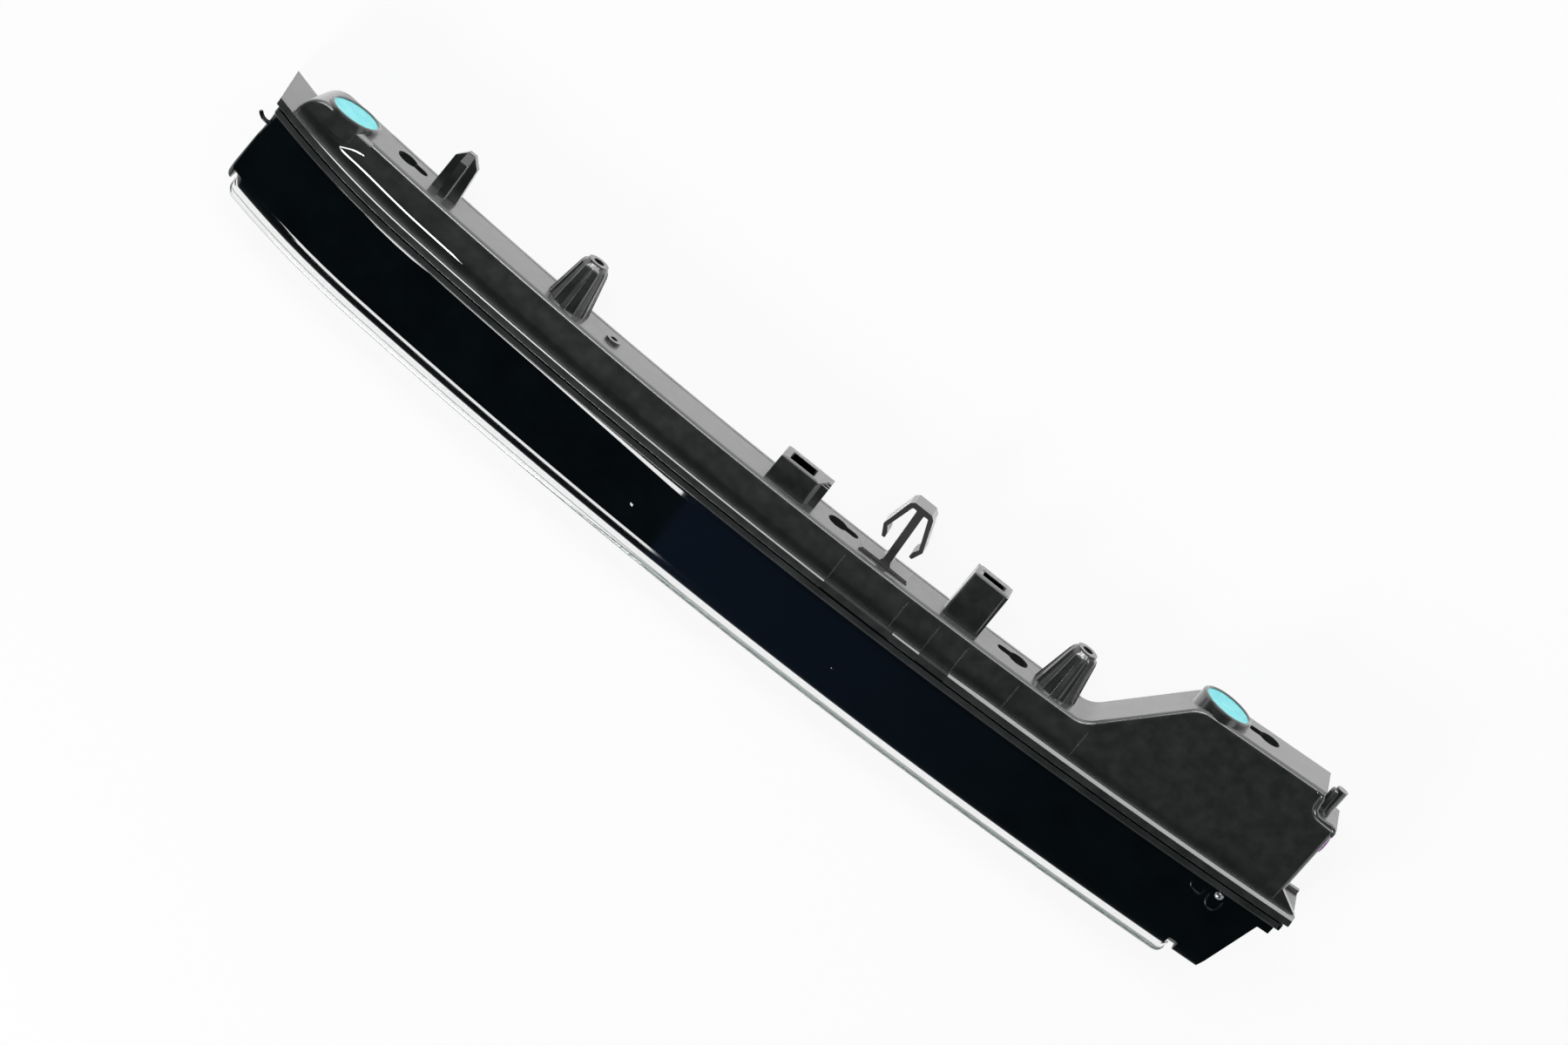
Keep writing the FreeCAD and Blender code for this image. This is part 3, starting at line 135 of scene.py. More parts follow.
def finish(name, dark, pale, rough, grain=2500.0, clouds=40.0, bump=0.05, **sockets):
    """Procedural finish: two close shades in clouds, varied roughness and a fine grain."""
    material = bpy.data.materials.new(name)
    material.use_nodes = True
    tree = material.node_tree
    shader = tree.nodes["Principled BSDF"]
    texture = tree.nodes.new("ShaderNodeGroup")
    texture.node_tree = grain_group
    texture.inputs["Grain Scale"].default_value = grain
    texture.inputs["Cloud Scale"].default_value = clouds
    texture.inputs["Rough Low"].default_value = rough[0]
    texture.inputs["Rough High"].default_value = rough[1]
    shade = tree.nodes.new("ShaderNodeMix")
    shade.data_type = "RGBA"
    shade.inputs["A"].default_value = (*dark, 1)
    shade.inputs["B"].default_value = (*pale, 1)
    tree.links.new(texture.outputs["Shade"], shade.inputs["Factor"])
    tree.links.new(shade.outputs["Result"], shader.inputs["Base Color"])
    tree.links.new(texture.outputs["Roughness"], shader.inputs["Roughness"])
    relief = tree.nodes.new("ShaderNodeBump")
    relief.inputs["Strength"].default_value = bump
    relief.inputs["Distance"].default_value = RELIEF_DEPTH
    tree.links.new(texture.outputs["Height"], relief.inputs["Height"])
    tree.links.new(relief.outputs["Normal"], shader.inputs["Normal"])
    for label, value in sockets.items():
        shader.inputs[label.replace("_", " ").title().replace("Ior", "IOR")].default_value = value
    return material


# Painted reflection on the lens, a navy haze: its level along the bar and its colour
PAINTED_REFLECTION_LEVELS = [(0.4325, 0.0), (0.438, 1.0), (0.6, 0.8), (0.82, 0.0)]
PAINTED_REFLECTION_NAVY = (0.003, 0.006, 0.012, 1)


def lens_finish_painted_reflection():
    """Deep gloss black with a painted reflection: a hazy navy over the inboard half that clears again near
    its end.
    """
    material = finish("lens_black", (0.0006, 0.0016, 0.0022), (0.0015, 0.0035, 0.0045), (0.035, 0.06),
                      clouds=60.0, bump=0.0)
    tree = material.node_tree
    shader = tree.nodes["Principled BSDF"]
    plain = shader.inputs["Base Color"].links[0].from_socket
    parts = tree.nodes.new("ShaderNodeSeparateXYZ")
    tree.links.new(tree.nodes.new("ShaderNodeTexCoord").outputs["Object"], parts.inputs["Vector"])
    along_bar = tree.nodes.new("ShaderNodeMapRange")
    along_bar.inputs["From Min"].default_value = LENS_LEFT * MM
    along_bar.inputs["From Max"].default_value = LENS_FLANGE_RIGHT * MM
    tree.links.new(parts.outputs["X"], along_bar.inputs["Value"])
    ramp = tree.nodes.new("ShaderNodeValToRGB")
    stops = ramp.color_ramp.elements
    for index, (position, level) in enumerate(PAINTED_REFLECTION_LEVELS):
        stop = stops[index] if index < 2 else stops.new(position)
        stop.position = position
        stop.color = (level, level, level, 1)
    tree.links.new(along_bar.outputs["Result"], ramp.inputs["Fac"])
    shade = tree.nodes.new("ShaderNodeMix")
    shade.data_type = "RGBA"
    shade.inputs["B"].default_value = PAINTED_REFLECTION_NAVY
    tree.links.new(ramp.outputs["Color"], shade.inputs["Factor"])
    tree.links.new(plain, shade.inputs["A"])
    tree.links.new(shade.outputs["Result"], shader.inputs["Base Color"])
    return material


# Shades and gloss that several black mouldings share
HOUSING_SHADES = ((0.005, 0.0068, 0.0068), (0.013, 0.0145, 0.013))
MOULDED = {"ior": 1.5, "specular_ior_level": 0.9, "coat_weight": 1.0}
SATIN = {**MOULDED, "coat_roughness": 0.2, "coat_ior": 1.8, "sheen_weight": 1.0, "sheen_roughness": 0.3}
POLISHED = {**MOULDED, "coat_roughness": 0.05, "coat_ior": 2.2}

finishes = {
    "housing_black": finish("housing_black", *HOUSING_SHADES, (0.32, 0.4), bump=0.03, clouds=220.0, **SATIN),
    "rib_gloss": finish("rib_gloss", *HOUSING_SHADES, (0.1, 0.15), bump=0.0, **POLISHED),
    # The lens finish carries a painted navy reflection along the bar
    "lens_black": lens_finish_painted_reflection(),
    "blade_clear": finish("blade_clear", (0.97, 0.98, 0.98), (1.0, 1.0, 1.0), (0.02, 0.05), bump=0.0,
                          clouds=20.0, transmission_weight=1.0, ior=1.49),
    # Grey of the blade's edge strips is painted shade for the darkening of its clear rim
    "blade_edge_painted_shade": finish("blade_edge_painted_shade", (0.46, 0.51, 0.5), (0.54, 0.59, 0.58), (0.25, 0.4), clouds=90.0),
    "seal_black": finish("seal_black", (0.006, 0.008, 0.008), (0.014, 0.017, 0.017), (0.4, 0.55),
                         clouds=70.0),
    "clip_black": finish("clip_black", (0.018, 0.018, 0.018), (0.032, 0.032, 0.031), (0.3, 0.42), **SATIN),
    "vent_cyan": finish("vent_cyan", (0.22, 0.82, 0.88), (0.36, 0.93, 0.96), (0.5, 0.7),
                        grain=1800.0, clouds=260.0),
    "patch_violet": finish("patch_violet", (0.3, 0.03, 0.4), (0.42, 0.06, 0.55), (0.4, 0.6)),
    "insert_grey": finish("insert_grey", (0.03, 0.03, 0.03), (0.05, 0.05, 0.05), (0.5, 0.7)),
    "contact_metal": finish("contact_metal", (0.7, 0.66, 0.56), (0.8, 0.76, 0.66), (0.2, 0.35), metallic=1.0),
    "plug_ivory": finish("plug_ivory", (0.68, 0.64, 0.55), (0.78, 0.74, 0.66), (0.4, 0.55)),
    "lead_black": finish("lead_black", (0.015, 0.015, 0.015), (0.03, 0.03, 0.03), (0.45, 0.6)),
    "board_green": finish("board_green", (0.02, 0.13, 0.06), (0.04, 0.2, 0.1), (0.3, 0.45), clouds=200.0),
    "board_white": finish("board_white", (0.8, 0.8, 0.77), (0.88, 0.88, 0.85), (0.3, 0.45), clouds=200.0),
    "chip_black": finish("chip_black", (0.015, 0.015, 0.017), (0.03, 0.03, 0.032), (0.5, 0.65)),
    "coil_grey": finish("coil_grey", (0.09, 0.09, 0.095), (0.16, 0.16, 0.165), (0.6, 0.8)),
    "can_metal": finish("can_metal", (0.62, 0.63, 0.65), (0.72, 0.73, 0.75), (0.25, 0.4), metallic=1.0),
    "screw_steel": finish("screw_steel", (0.45, 0.46, 0.48), (0.58, 0.59, 0.61), (0.25, 0.4), metallic=1.0),
    "emitter_yellow": finish("emitter_yellow", (0.82, 0.68, 0.2), (0.9, 0.78, 0.3), (0.2, 0.3)),
    "sink_metal": finish("sink_metal", (0.6, 0.61, 0.63), (0.7, 0.71, 0.73), (0.3, 0.45), metallic=1.0),
    "guide_clear": finish("guide_clear", (0.82, 0.85, 0.88), (0.9, 0.92, 0.94), (0.06, 0.1), bump=0.0),
    "tray_white": finish("tray_white", (0.82, 0.82, 0.81), (0.9, 0.9, 0.89), (0.4, 0.55)),
}
for subpart in frame["record"]["subparts"]:
    thing = nodes[subpart["node"]]
    thing.data.materials.clear()
    thing.data.materials.append(finishes[subpart["material_slot"]])


# Helpers for pieces that follow the bow of the bar
def bow(x, deep, z):
    """Point that lies deep millimetres behind the joint line at the given x."""
    sweep_turn = math.asin(SWEEP_X / BOW_RADIUS)
    radius = BOW_RADIUS - deep
    centre_y = JOINT + BOW_RADIUS
    if x > -radius * math.sin(sweep_turn):
        return Vector((x, centre_y - math.sqrt(radius ** 2 - x ** 2), z)) * MM
    shift = BOW_RADIUS - END_RADIUS
    radius = END_RADIUS - deep
    end_x = -shift * math.sin(sweep_turn)
    end_y = centre_y - shift * math.cos(sweep_turn)
    return Vector((x, end_y - math.sqrt(radius ** 2 - (x - end_x) ** 2), z)) * MM


def rear_wall(x):
    """Place of the tub's rear wall at the given x."""
    return JOINT + TUB_DEPTH + x ** 2 / (2 * (BOW_RADIUS - TUB_DEPTH))


def box_wall(x):
    """Place of the electronics box's rear wall at the given x."""
    return JOINT + BOX_DEPTH + x ** 2 / (2 * (BOW_RADIUS - BOX_DEPTH))


def between(value, table):
    """Straight-line reading of a table of (place, value) pairs."""
    if value <= table[0][0]:
        return table[0][1]
    for (low, first), (high, last) in zip(table, table[1:]):
        if value <= high:
            return first + (last - first) * (value - low) / (high - low)
    return table[-1][1]


def full_turn(count):
    """Even angles round a full turn."""
    return [2 * math.pi * step / count for step in range(count)]


def even_places(low, high, count):
    """Places in even steps from low to high, both ends included."""
    return [low + (high - low) * step / count for step in range(count + 1)]


def rounded_outline(corners, steps=6):
    """Closed outline whose corners (a, b, radius) are rounded by arcs."""
    points = []
    for index, (a, b, radius) in enumerate(corners):
        corner = Vector((a, b))
        if radius == 0:
            points.append(corner)
            continue
        back = (Vector(corners[index - 1][:2]) - corner).normalized()
        ahead = (Vector(corners[(index + 1) % len(corners)][:2]) - corner).normalized()
        half = back.angle(ahead) / 2
        centre = corner + (back + ahead).normalized() * radius / math.sin(half)
        first = corner + back * radius / math.tan(half) - centre
        last = corner + ahead * radius / math.tan(half) - centre
        turn = first.angle(last)
        for step in range(steps + 1):
            share = step / steps
            arm = first * math.sin((1 - share) * turn) + last * math.sin(share * turn)
            points.append(centre + arm / math.sin(turn))
    return points


def add_piece(name, slot, skin, sharp, look):
    """Turns a finished skin into a piece of the bar with its finish."""
    bmesh.ops.remove_doubles(skin, verts=skin.verts, dist=1e-6)
    bmesh.ops.recalc_face_normals(skin, faces=skin.faces)
    mesh = bpy.data.meshes.new(name)
    skin.to_mesh(mesh)
    skin.free()
    mesh.shade_smooth()
    mesh.set_sharp_from_angle(angle=math.radians(sharp))
    mesh.materials.append(finishes[look or slot])
    thing = bpy.data.objects.new(name, mesh)
    bpy.context.scene.collection.objects.link(thing)
    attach(thing, "root")
    return thing


def lofted(name, slot, rings, run_closed=False, sharp=35.0, mirrored=False, look=None):
    """Closed skin over a run of rings, with capped ends or joined into a loop.

    Rings whose second half mirrors the first get their ends closed by strips between the halves.
    """
    skin = bmesh.new()
    rows = [[skin.verts.new(point) for point in ring] for ring in rings]
    count = len(rings[0])
    pairs = list(zip(rows, rows[1:]))
    if run_closed:
        pairs.append((rows[-1], rows[0]))
    for near, far in pairs:
        for step in range(count):
            after = (step + 1) % count
            skin.faces.new((near[step], near[after], far[after], far[step]))
    if mirrored:
        for row in (rows[0], rows[-1]):
            for step in range(count // 2 - 1):
                skin.faces.new((row[step], row[step + 1], row[count - 2 - step], row[count - 1 - step]))
    elif not run_closed:
        skin.faces.new(rows[0])
        skin.faces.new(list(reversed(rows[-1])))
    return add_piece(name, slot, skin, sharp, look)


def soften(thing, width):
    """Rounds the sharp edges of a piece."""
    bevel = thing.modifiers.new("edge_round", "BEVEL")
    bevel.width = width * MM
    bevel.segments = 3
    bevel.limit_method = "ANGLE"
    bevel.angle_limit = math.radians(50)
    bevel.harden_normals = True


PATH_STEPS = 6


def smooth_path(points):
    """Even curve through a short list of points."""
    points = [Vector(point) for point in points]
    ends = [points[0] * 2 - points[1]] + points + [points[-1] * 2 - points[-2]]
    path = []
    for a, b, c, d in zip(ends, ends[1:], ends[2:], ends[3:]):
        for step in range(PATH_STEPS):
            t = step / PATH_STEPS
            path.append(0.5 * (2 * b + (c - a) * t + (2 * a - 5 * b + 4 * c - d) * t ** 2
                               + (3 * b - a - 3 * c + d) * t ** 3))
    path.append(points[-1])
    return path


BEAD_SIDES = 10
BEAD_TIP = 0.35


def bead(name, slot, path, radius):
    """Round bead along a path in metres; its ends draw in to rounded tips."""
    rings = []
    last = len(path) - 1
    for index, point in enumerate(path):
        way = (path[min(index + 1, last)] - path[max(index - 1, 0)]).normalized()
        side = way.cross(Vector((0, 0, 1)))
        if side.length < 0.1:
            side = way.cross(Vector((1, 0, 0)))
        side.normalize()
        top = side.cross(way)
        size = radius * MM
        if index in (0, last):
            size *= BEAD_TIP
        turns = full_turn(BEAD_SIDES)
        rings.append([point + (side * math.cos(turn) + top * math.sin(turn)) * size for turn in turns])
    lofted(name, slot, rings, sharp=60.0)


# Lens cover: flange, root ramp, tapered top and bottom, nose with its slot
LENS_FRONT = -34.4
LENS_DEPTH = 34
LENS_HALF = 12
LENS_FOOT = 12.2
LENS_FLANGE_TOP = 14.55
FLANGE_FRONT = -3.1
ROOT_DEEP = -3.05
FOOT_DEEP = -7.0
FACET_PLACES = (-6.99, -7.01, -10.0, -13.0)
FACET_END = -15.0
BROW_DEEP = -29.8
SLOT_HALF = 3.75
SLOT_DEEP = -29.0
RAMP_SLOPE = 0.305
ROOT_RAMP = [(-178, 0.6), (-175, 1.2), (-158, 1.2), (-155, 0.6), (-150, 0.7), (-100, 1.0), (-60, 2.2),
             (-33, 3.3), (-20, 1.2), (220, 1.2)]
FRONT_STEPS = [(-226.4, -34.4), (-226.1, -31.4), (-225.0, -31.4), (-222.6, -34.4),
               (194.2, -34.4), (194.5, -32.2), (197.4, -32.2), (197.9, -34.4)]
FACET_SINK = [(-215.4, 1.2), (-211.6, 0.0)]
FACET_SLANT = 0.8
END_LEAN = 0.1
END_LEAN_FADE = [(LENS_LEFT + 4, 1.0), (-208.0, 0.0)]
TOP_SLOPE = 0.14
STRAIGHT_RIGHT = 205.0
FOOT_RIGHT = 218.4
SIDE_RIGHT = 214.0
SIDE_LEAN = 5.8
SIDE_DEPTH = 26.0


def lens_top(deep):
    """Height of the lens top at a given depth."""
    return LENS_FOOT + (deep - ROOT_DEEP) * TOP_SLOPE


def facet_top(x, deep):
    """Height of the lens top where a slanted facet is sunk into its outboard end."""
    return lens_top(deep) - between(x - FACET_SLANT * (deep - FOOT_DEEP), FACET_SINK)


def lens_right(deep):
    """Inboard end of the lens at a given depth: flange, foot and slanted side."""
    if deep > FLANGE_FRONT:
        return LENS_FLANGE_RIGHT
    if deep > FOOT_DEEP:
        return FOOT_RIGHT
    return SIDE_RIGHT + (deep - FOOT_DEEP) * SIDE_LEAN / SIDE_DEPTH


def lens_half(x):
    """Upper half of the lens outline at x, from the joint forward to the slot."""
    ramp = between(x, ROOT_RAMP)
    front = between(x, FRONT_STEPS)
    notched = front > LENS_FRONT + 0.5
    brow_round = 0.5 if notched else 4.0
    nose_round = 0.4 if notched else 1.2
    ramp_end = ROOT_DEEP - ramp
    flange = [(-0.4, 11.0, 0), (-0.4, LENS_FLANGE_TOP, 0.45), (ROOT_DEEP, LENS_FLANGE_TOP, 0.7)]
    root = [(ROOT_DEEP, LENS_FOOT + RAMP_SLOPE * ramp, 0.1), (ramp_end, lens_top(ramp_end), 0.25)]
    facet = [(deep, facet_top(x, deep), 0) for deep in FACET_PLACES]
    brow = [(FACET_END, lens_top(FACET_END), 0), (BROW_DEEP, lens_top(BROW_DEEP), brow_round)]
    nose = [(front + 0.6, 6.6, nose_round), (front, SLOT_HALF, 0.3), (SLOT_DEEP, SLOT_HALF, 0)]
    return flange + root + facet + brow + nose


def lens_ring(x, inset=0.0):
    """Whole lens outline at x; an inset draws it in to round the outboard end."""
    half = lens_half(x)
    corners = half + [(deep, -z, radius) for deep, z, radius in reversed(half)]
    ring = []
    for deep, z in rounded_outline(corners):
        place_x = x + END_LEAN * (deep + 3.0) * between(x, END_LEAN_FADE)
        if x > STRAIGHT_RIGHT:
            place_x = lens_right(deep)
        ring.append(bow(place_x, deep * (1 - inset / LENS_DEPTH), z * (1 - inset / LENS_HALF)))
    return ring


END_ROUND = 2.0
END_STEPS = 6
rings = []
for step in range(END_STEPS + 1):
    turn = math.pi / 2 * step / END_STEPS
    x = LENS_LEFT + END_ROUND * (1 - math.cos(turn))
    rings.append(lens_ring(x, END_ROUND * (1 - math.sin(turn))))
stations = [-226.4, -226.1, -225.6, -225.0, -224.2, -223.4, -222.6]
stations += [-222.0 + step for step in range(13)]
stations += [-208 + 8 * step for step in range(50)]
stations += [190.0, 194.2, 194.5, 196.0, 197.4, 197.9, 203.0, 206.0]
rings += [lens_ring(x) for x in stations]
lens_cover = lofted("lens_cover", "lens_black", rings, sharp=32.0, mirrored=True)
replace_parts(lens_cover, "outer_lens")

# Light blade: clear bar with a stepped rim that stands out of the slot
BLADE_ENDS = (-228.6, 196.0)
BLADE_TIP = -39.9
BLADE_ROOT = -29.5
BLADE_HALF = 3.45
BLADE_CORNER = 2.6
TIP_HALF = 2.5
TIP_ROUND = 1.5
STEP_FRONT = 2.3
STEP_BACK = 2.9
FACE_RISE = 0.2
END_REACHES = (0.05, 0.4, 0.9, 1.6, 2.6)


def blade_tip(x):
    """Depth of the blade's tip at x; it draws back round both ends."""
    room = min(x - BLADE_ENDS[0], BLADE_ENDS[1] - x)
    back = 0.0
    if room < BLADE_CORNER:
        back = BLADE_CORNER - math.sqrt(BLADE_CORNER ** 2 - (BLADE_CORNER - room) ** 2)
    return BLADE_TIP + back


def blade_ring(x):
    """Outline of the blade at x, with a low step round its rim."""
    tip = blade_tip(x)
    half = [(BLADE_ROOT, BLADE_HALF, 0), (tip + STEP_BACK, BLADE_HALF, 0.3), (tip + STEP_FRONT, 2.7, 0.3),
            (tip, TIP_HALF, TIP_ROUND)]
    corners = half + [(deep, -z, radius) for deep, z, radius in reversed(half)]
    return [bow(x, deep, z) for deep, z in rounded_outline(corners, 5)]


stations = [BLADE_ENDS[0] + reach for reach in END_REACHES]
stations += [-224 + 7 * step for step in range(60)]
stations += [BLADE_ENDS[1] - reach for reach in reversed(END_REACHES)]
blade_bar = lofted("blade_bar", "blade_clear", [blade_ring(x) for x in stations], sharp=40.0)
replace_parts(blade_bar, "light_blade")

# Grey strips along the blade's edges, painted shade for the darkening of the clear rim: the outer one widens
# over the inboard half
EDGE_SHADE_WIDTH = [(-90.0, 0.32), (-15.0, 2.2), (190.0, 2.2), (196.0, 1.6)]
EDGE_STEPS = 10
EDGE_PROUD = 0.05
EDGE_SUNK = 0.25
STEP_STRIP_END = -20.0


def edge_shade_ring(x):
    """Outline of the grey painted-shade strip that wraps the blade's outer edge at x."""
    tip = blade_tip(x)
    width = between(x, EDGE_SHADE_WIDTH)
    outer = []
    inner = []
    for step in range(EDGE_STEPS + 1):
        reach = width * (1 - step / EDGE_STEPS) ** 2
        level = TIP_HALF + FACE_RISE * reach / STEP_FRONT
        proud = 0.0
        if reach < TIP_ROUND:
            level = TIP_HALF - TIP_ROUND + math.sqrt(TIP_ROUND ** 2 - (TIP_ROUND - reach) ** 2)
            proud = EDGE_PROUD * (1 - reach / TIP_ROUND)
        outer.append((tip + reach - proud, level + EDGE_PROUD))
        inner.append((tip + reach + EDGE_SUNK, level - EDGE_SUNK))
    return [bow(x, deep, z) for deep, z in outer + inner[::-1]]


def step_shade_ring(x):
    """Outline of the thin grey painted-shade strip on the blade's step at x."""
    tip = blade_tip(x)
    corners = [(tip + STEP_BACK, 3.5), (tip + 2.25, 2.75), (tip + 2.25, 2.5), (tip + STEP_BACK, 3.2)]
    return [bow(x, deep, z) for deep, z in corners]


# Both strips carry painted shade in grey over the clear blade
lofted("blade_edge_strip", "blade_clear", [edge_shade_ring(x) for x in stations], look="blade_edge_painted_shade")
outboard = [x for x in stations if x < STEP_STRIP_END]
lofted("blade_step_painted_shade_strip", "blade_clear", [step_shade_ring(x) for x in outboard], look="blade_edge_painted_shade")

# White liner behind the root of the blade
liner = [(-29.05, 3.4), (-29.45, 3.4), (-29.45, -3.4), (-29.05, -3.4)]
lofted("blade_liner", "tray_white", [[bow(x, deep, z) for deep, z in liner] for x in stations])

# Rounded lip over the rim of the housing flange, in lengths with short breaks
LIP_LENGTHS = {"outboard": (-228.8, 21.5), "middle": (51.5, 63.0), "inboard": (75.5, 221.2)}
LIP_SLOPE = [(-212.0, 0.06), (-204.0, 0.4), (-120.0, 0.4), (60.0, 0.6), (90.0, 1.25)]
LIP_TOP = 15.05
LIP_FRONT = 0.34
LIP_BACK = 2.95
LIP_FALL = 0.57
LIP_STEP = 7


def lip_ring(x, side):
    """Outline of the flange lip at x, above or below the bar."""
    slope = between(x, LIP_SLOPE)
    back = LIP_BACK + slope
    corners = [(LIP_FRONT, 12.6, 0), (LIP_FRONT, LIP_TOP, 0.12), (LIP_BACK, LIP_TOP, 0.1),
               (back, LIP_TOP - LIP_FALL * slope, 0.1), (back, 11.9, 0)]
    return [bow(x, deep, side * z) for deep, z in rounded_outline(corners)]


for side, label in ((1, "upper"), (-1, "lower")):
    for length, (low, high) in LIP_LENGTHS.items():
        count = max(2, round((high - low) / LIP_STEP))
        rings = [lip_ring(x, side) for x in even_places(low, high, count)]
        lofted("flange_lip_%s_%s" % (label, length), "housing_black", rings, sharp=25.0)

# Smooth rounded edge along the tub's rear corner, above and below
CORNER_ENDS = (-194.0, 118.0)
CORNER_PROUD = 0.1
CORNER_REACH = 3.0
CORNER_ROUND = 1.6


def corner_ring(x, side):
    """Outline of the rounded rear corner at x."""
    back = rear_wall(x) + CORNER_PROUD
    top = TUB_TOP + CORNER_PROUD
    corners = [(back - CORNER_REACH, top, 0), (back, top, CORNER_ROUND), (back, top - CORNER_REACH, 0),
               (back - CORNER_ROUND, top - CORNER_ROUND, 0)]
    return [Vector((x, y, side * z)) * MM for y, z in rounded_outline(corners, 8)]


for side, label in ((1, "upper"), (-1, "lower")):
    rings = [corner_ring(x, side) for x in even_places(*CORNER_ENDS, 40)]
    lofted("tub_corner_%s" % label, "housing_black", rings)

# Satin band along the top of the lens flange
BAND_ENDS = (-227.0, 219.0)
band_corners = [(-0.5, 14.3, 0), (-0.5, 14.66, 0.1), (-2.5, 14.66, 0.3), (-2.7, 14.3, 0)]
band_outline = rounded_outline(band_corners)
rings = [[bow(x, deep, z) for deep, z in band_outline] for x in even_places(*BAND_ENDS, 60)]
lofted("lens_flange_band", "seal_black", rings)

# Bent stiffening rib on the tub top, near the outboard end, and thin witness ribs further in
RIB_CORNER = (-203.0, -22.2)
RIB_BRANCHES = {
    "short": [(-194.0, -19.2), (-198.4, -20.1), RIB_CORNER],
    "long": [(-144.8, -27.8), (-170.6, -26.0), (-191.1, -23.7), (-200.5, -22.9), RIB_CORNER],
}
RIB_WIDTH = 0.7
RIB_HEIGHT = 0.25
RIB_SUNK = -0.15
RIB_TIP = 0.4
WITNESS_RIBS = (21.7, 48.9, 62.8, 75.2, 96.9, 125.6)
WITNESS_RADIUS = 0.2


def ridge(name, spots):
    """Low polished ridge on the tub top with a flat face to the rear; it starts thin."""
    rings = []
    path = smooth_path([Vector((x, y, TUB_TOP)) * MM for x, y in spots])
    for index, point in enumerate(path):
        size = RIB_TIP if index == 0 else 1.0
        crest = RIB_HEIGHT * size
        section = ((RIB_WIDTH * size, RIB_SUNK), (0.0, crest), (-0.2, crest), (-0.3, RIB_SUNK))
        rings.append([point + Vector((0, back, up)) * MM for back, up in section])
    lofted(name, "housing_black", rings, sharp=25.0, look="rib_gloss")


for branch, spots in RIB_BRANCHES.items():
    ridge("bent_rib_%s" % branch, spots)
for index, x in enumerate(WITNESS_RIBS):
    near = bow(x, 3.2, TUB_TOP)
    far = Vector((x, rear_wall(x) - 1.4, TUB_TOP)) * MM
    path = [near.lerp(far, step / 6) for step in range(7)]
    bead("witness_rib_%d" % index, "housing_black", path, WITNESS_RADIUS)

# Ribbed cones round the two screw bosses
BOSS_X = 108.3
BOSS_SIDES = 72
SIDES_PER_RIB = 6


def boss_ring(x, y, radius, rib):
    """Ring of a boss cone with narrow ribs that stand out by rib."""
    points = []
    for step, turn in enumerate(full_turn(BOSS_SIDES)):
        reach = radius + (rib if step % SIDES_PER_RIB == 0 else 0.0)
        points.append(Vector((x + reach * math.cos(turn), y, reach * math.sin(turn))) * MM)
    return points


for label, x in (("outboard", -BOSS_X), ("inboard", BOSS_X)):
    foot = rear_wall(x)
    outside = [(foot - 0.3, 7.9, 0.7), (foot + 0.6, 7.8, 0.7), (-3.0, 5.1, 0.5), (-1.5, 4.75, 0.3)]
    rim = [(-0.95, 4.25, 0.0), (-0.25, 4.05, 0.0), (-0.25, 3.6, 0.0)]
    profile = outside + rim + [(-1.5, 3.5, 0.0), (foot - 0.3, 3.5, 0.0)]
    rings = [boss_ring(x, y, radius, rib) for y, radius, rib in profile]
    lofted("boss_cone_%s" % label, "housing_black", rings, run_closed=True, sharp=40.0)

# Spreader clip: stem, roof and two thin sprung arms with inward hooks
CLIP_X = 34.4
CLIP_LEAN = 0.055
CLIP_HALF_DEPTH = 5.5
CLIP_SEAT_X = 34.3
clip_foot = rear_wall(CLIP_SEAT_X) + 0.6
clip_side = [
    (10.0, clip_foot, 0), (10.0, clip_foot + 0.4, 0.15), (2.3, clip_foot + 0.5, 0.4),
    (1.5, clip_foot + 2.0, 0.8), (1.5, 2.6, 0.5), (3.3, 2.6, 0.6), (6.9, -8.1, 0.3), (5.6, -10.2, 0.3),
    (5.3, -12.2, 0.3), (6.6, -12.4, 0.4), (8.6, -8.2, 0.5), (5.1, 3.4, 0.9), (3.6, 4.75, 0.8)]
clip_corners = clip_side + [(-x, y, radius) for x, y, radius in reversed(clip_side)]
clip_outline = rounded_outline(clip_corners, 4)
rings = []
for z in (-CLIP_HALF_DEPTH, CLIP_HALF_DEPTH):
    ring = [Vector((CLIP_X - CLIP_LEAN * (y - clip_foot) + x, y, z)) * MM for x, y in clip_outline]
    rings.append(ring)
clip_band = lofted("clip_band", "clip_black", rings, sharp=50.0)
soften(clip_band, 0.25)
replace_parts(clip_band, "spreader_clip")


# Rounded sleeves of the connector shroud and the guide socket
def sleeve_ring(x, y, half_x, half_z, radius):
    """Rounded rectangle across a sleeve, centred on x."""
    signs = ((1, 1), (-1, 1), (-1, -1), (1, -1))
    corners = [(half_x * way_x, half_z * way_z, radius) for way_x, way_z in signs]
    return [Vector((x + a, y, b)) * MM for a, b in rounded_outline(corners)]


def sleeve(name, x, top, half_x, half_z, radius, way_half_x, way_half_z):
    """Sleeve that stands on the rear wall, with a rounded rim round its way."""
    foot = rear_wall(x) - 0.5
    rings = [
        sleeve_ring(x, foot, half_x + 0.3, half_z + 0.2, radius),
        sleeve_ring(x, top - 0.8, half_x, half_z, radius),
        sleeve_ring(x, top - 0.25, half_x - 0.1, half_z - 0.1, radius),
        sleeve_ring(x, top, half_x - 0.45, half_z - 0.45, radius * 0.9),
        sleeve_ring(x, top, way_half_x + 0.3, way_half_z + 0.3, 0.7),
        sleeve_ring(x, top - 0.4, way_half_x, way_half_z, 0.6),
        sleeve_ring(x, top - 4.0, way_half_x, way_half_z, 0.6),
    ]
    lofted(name, "housing_black", rings, run_closed=True, sharp=40.0)


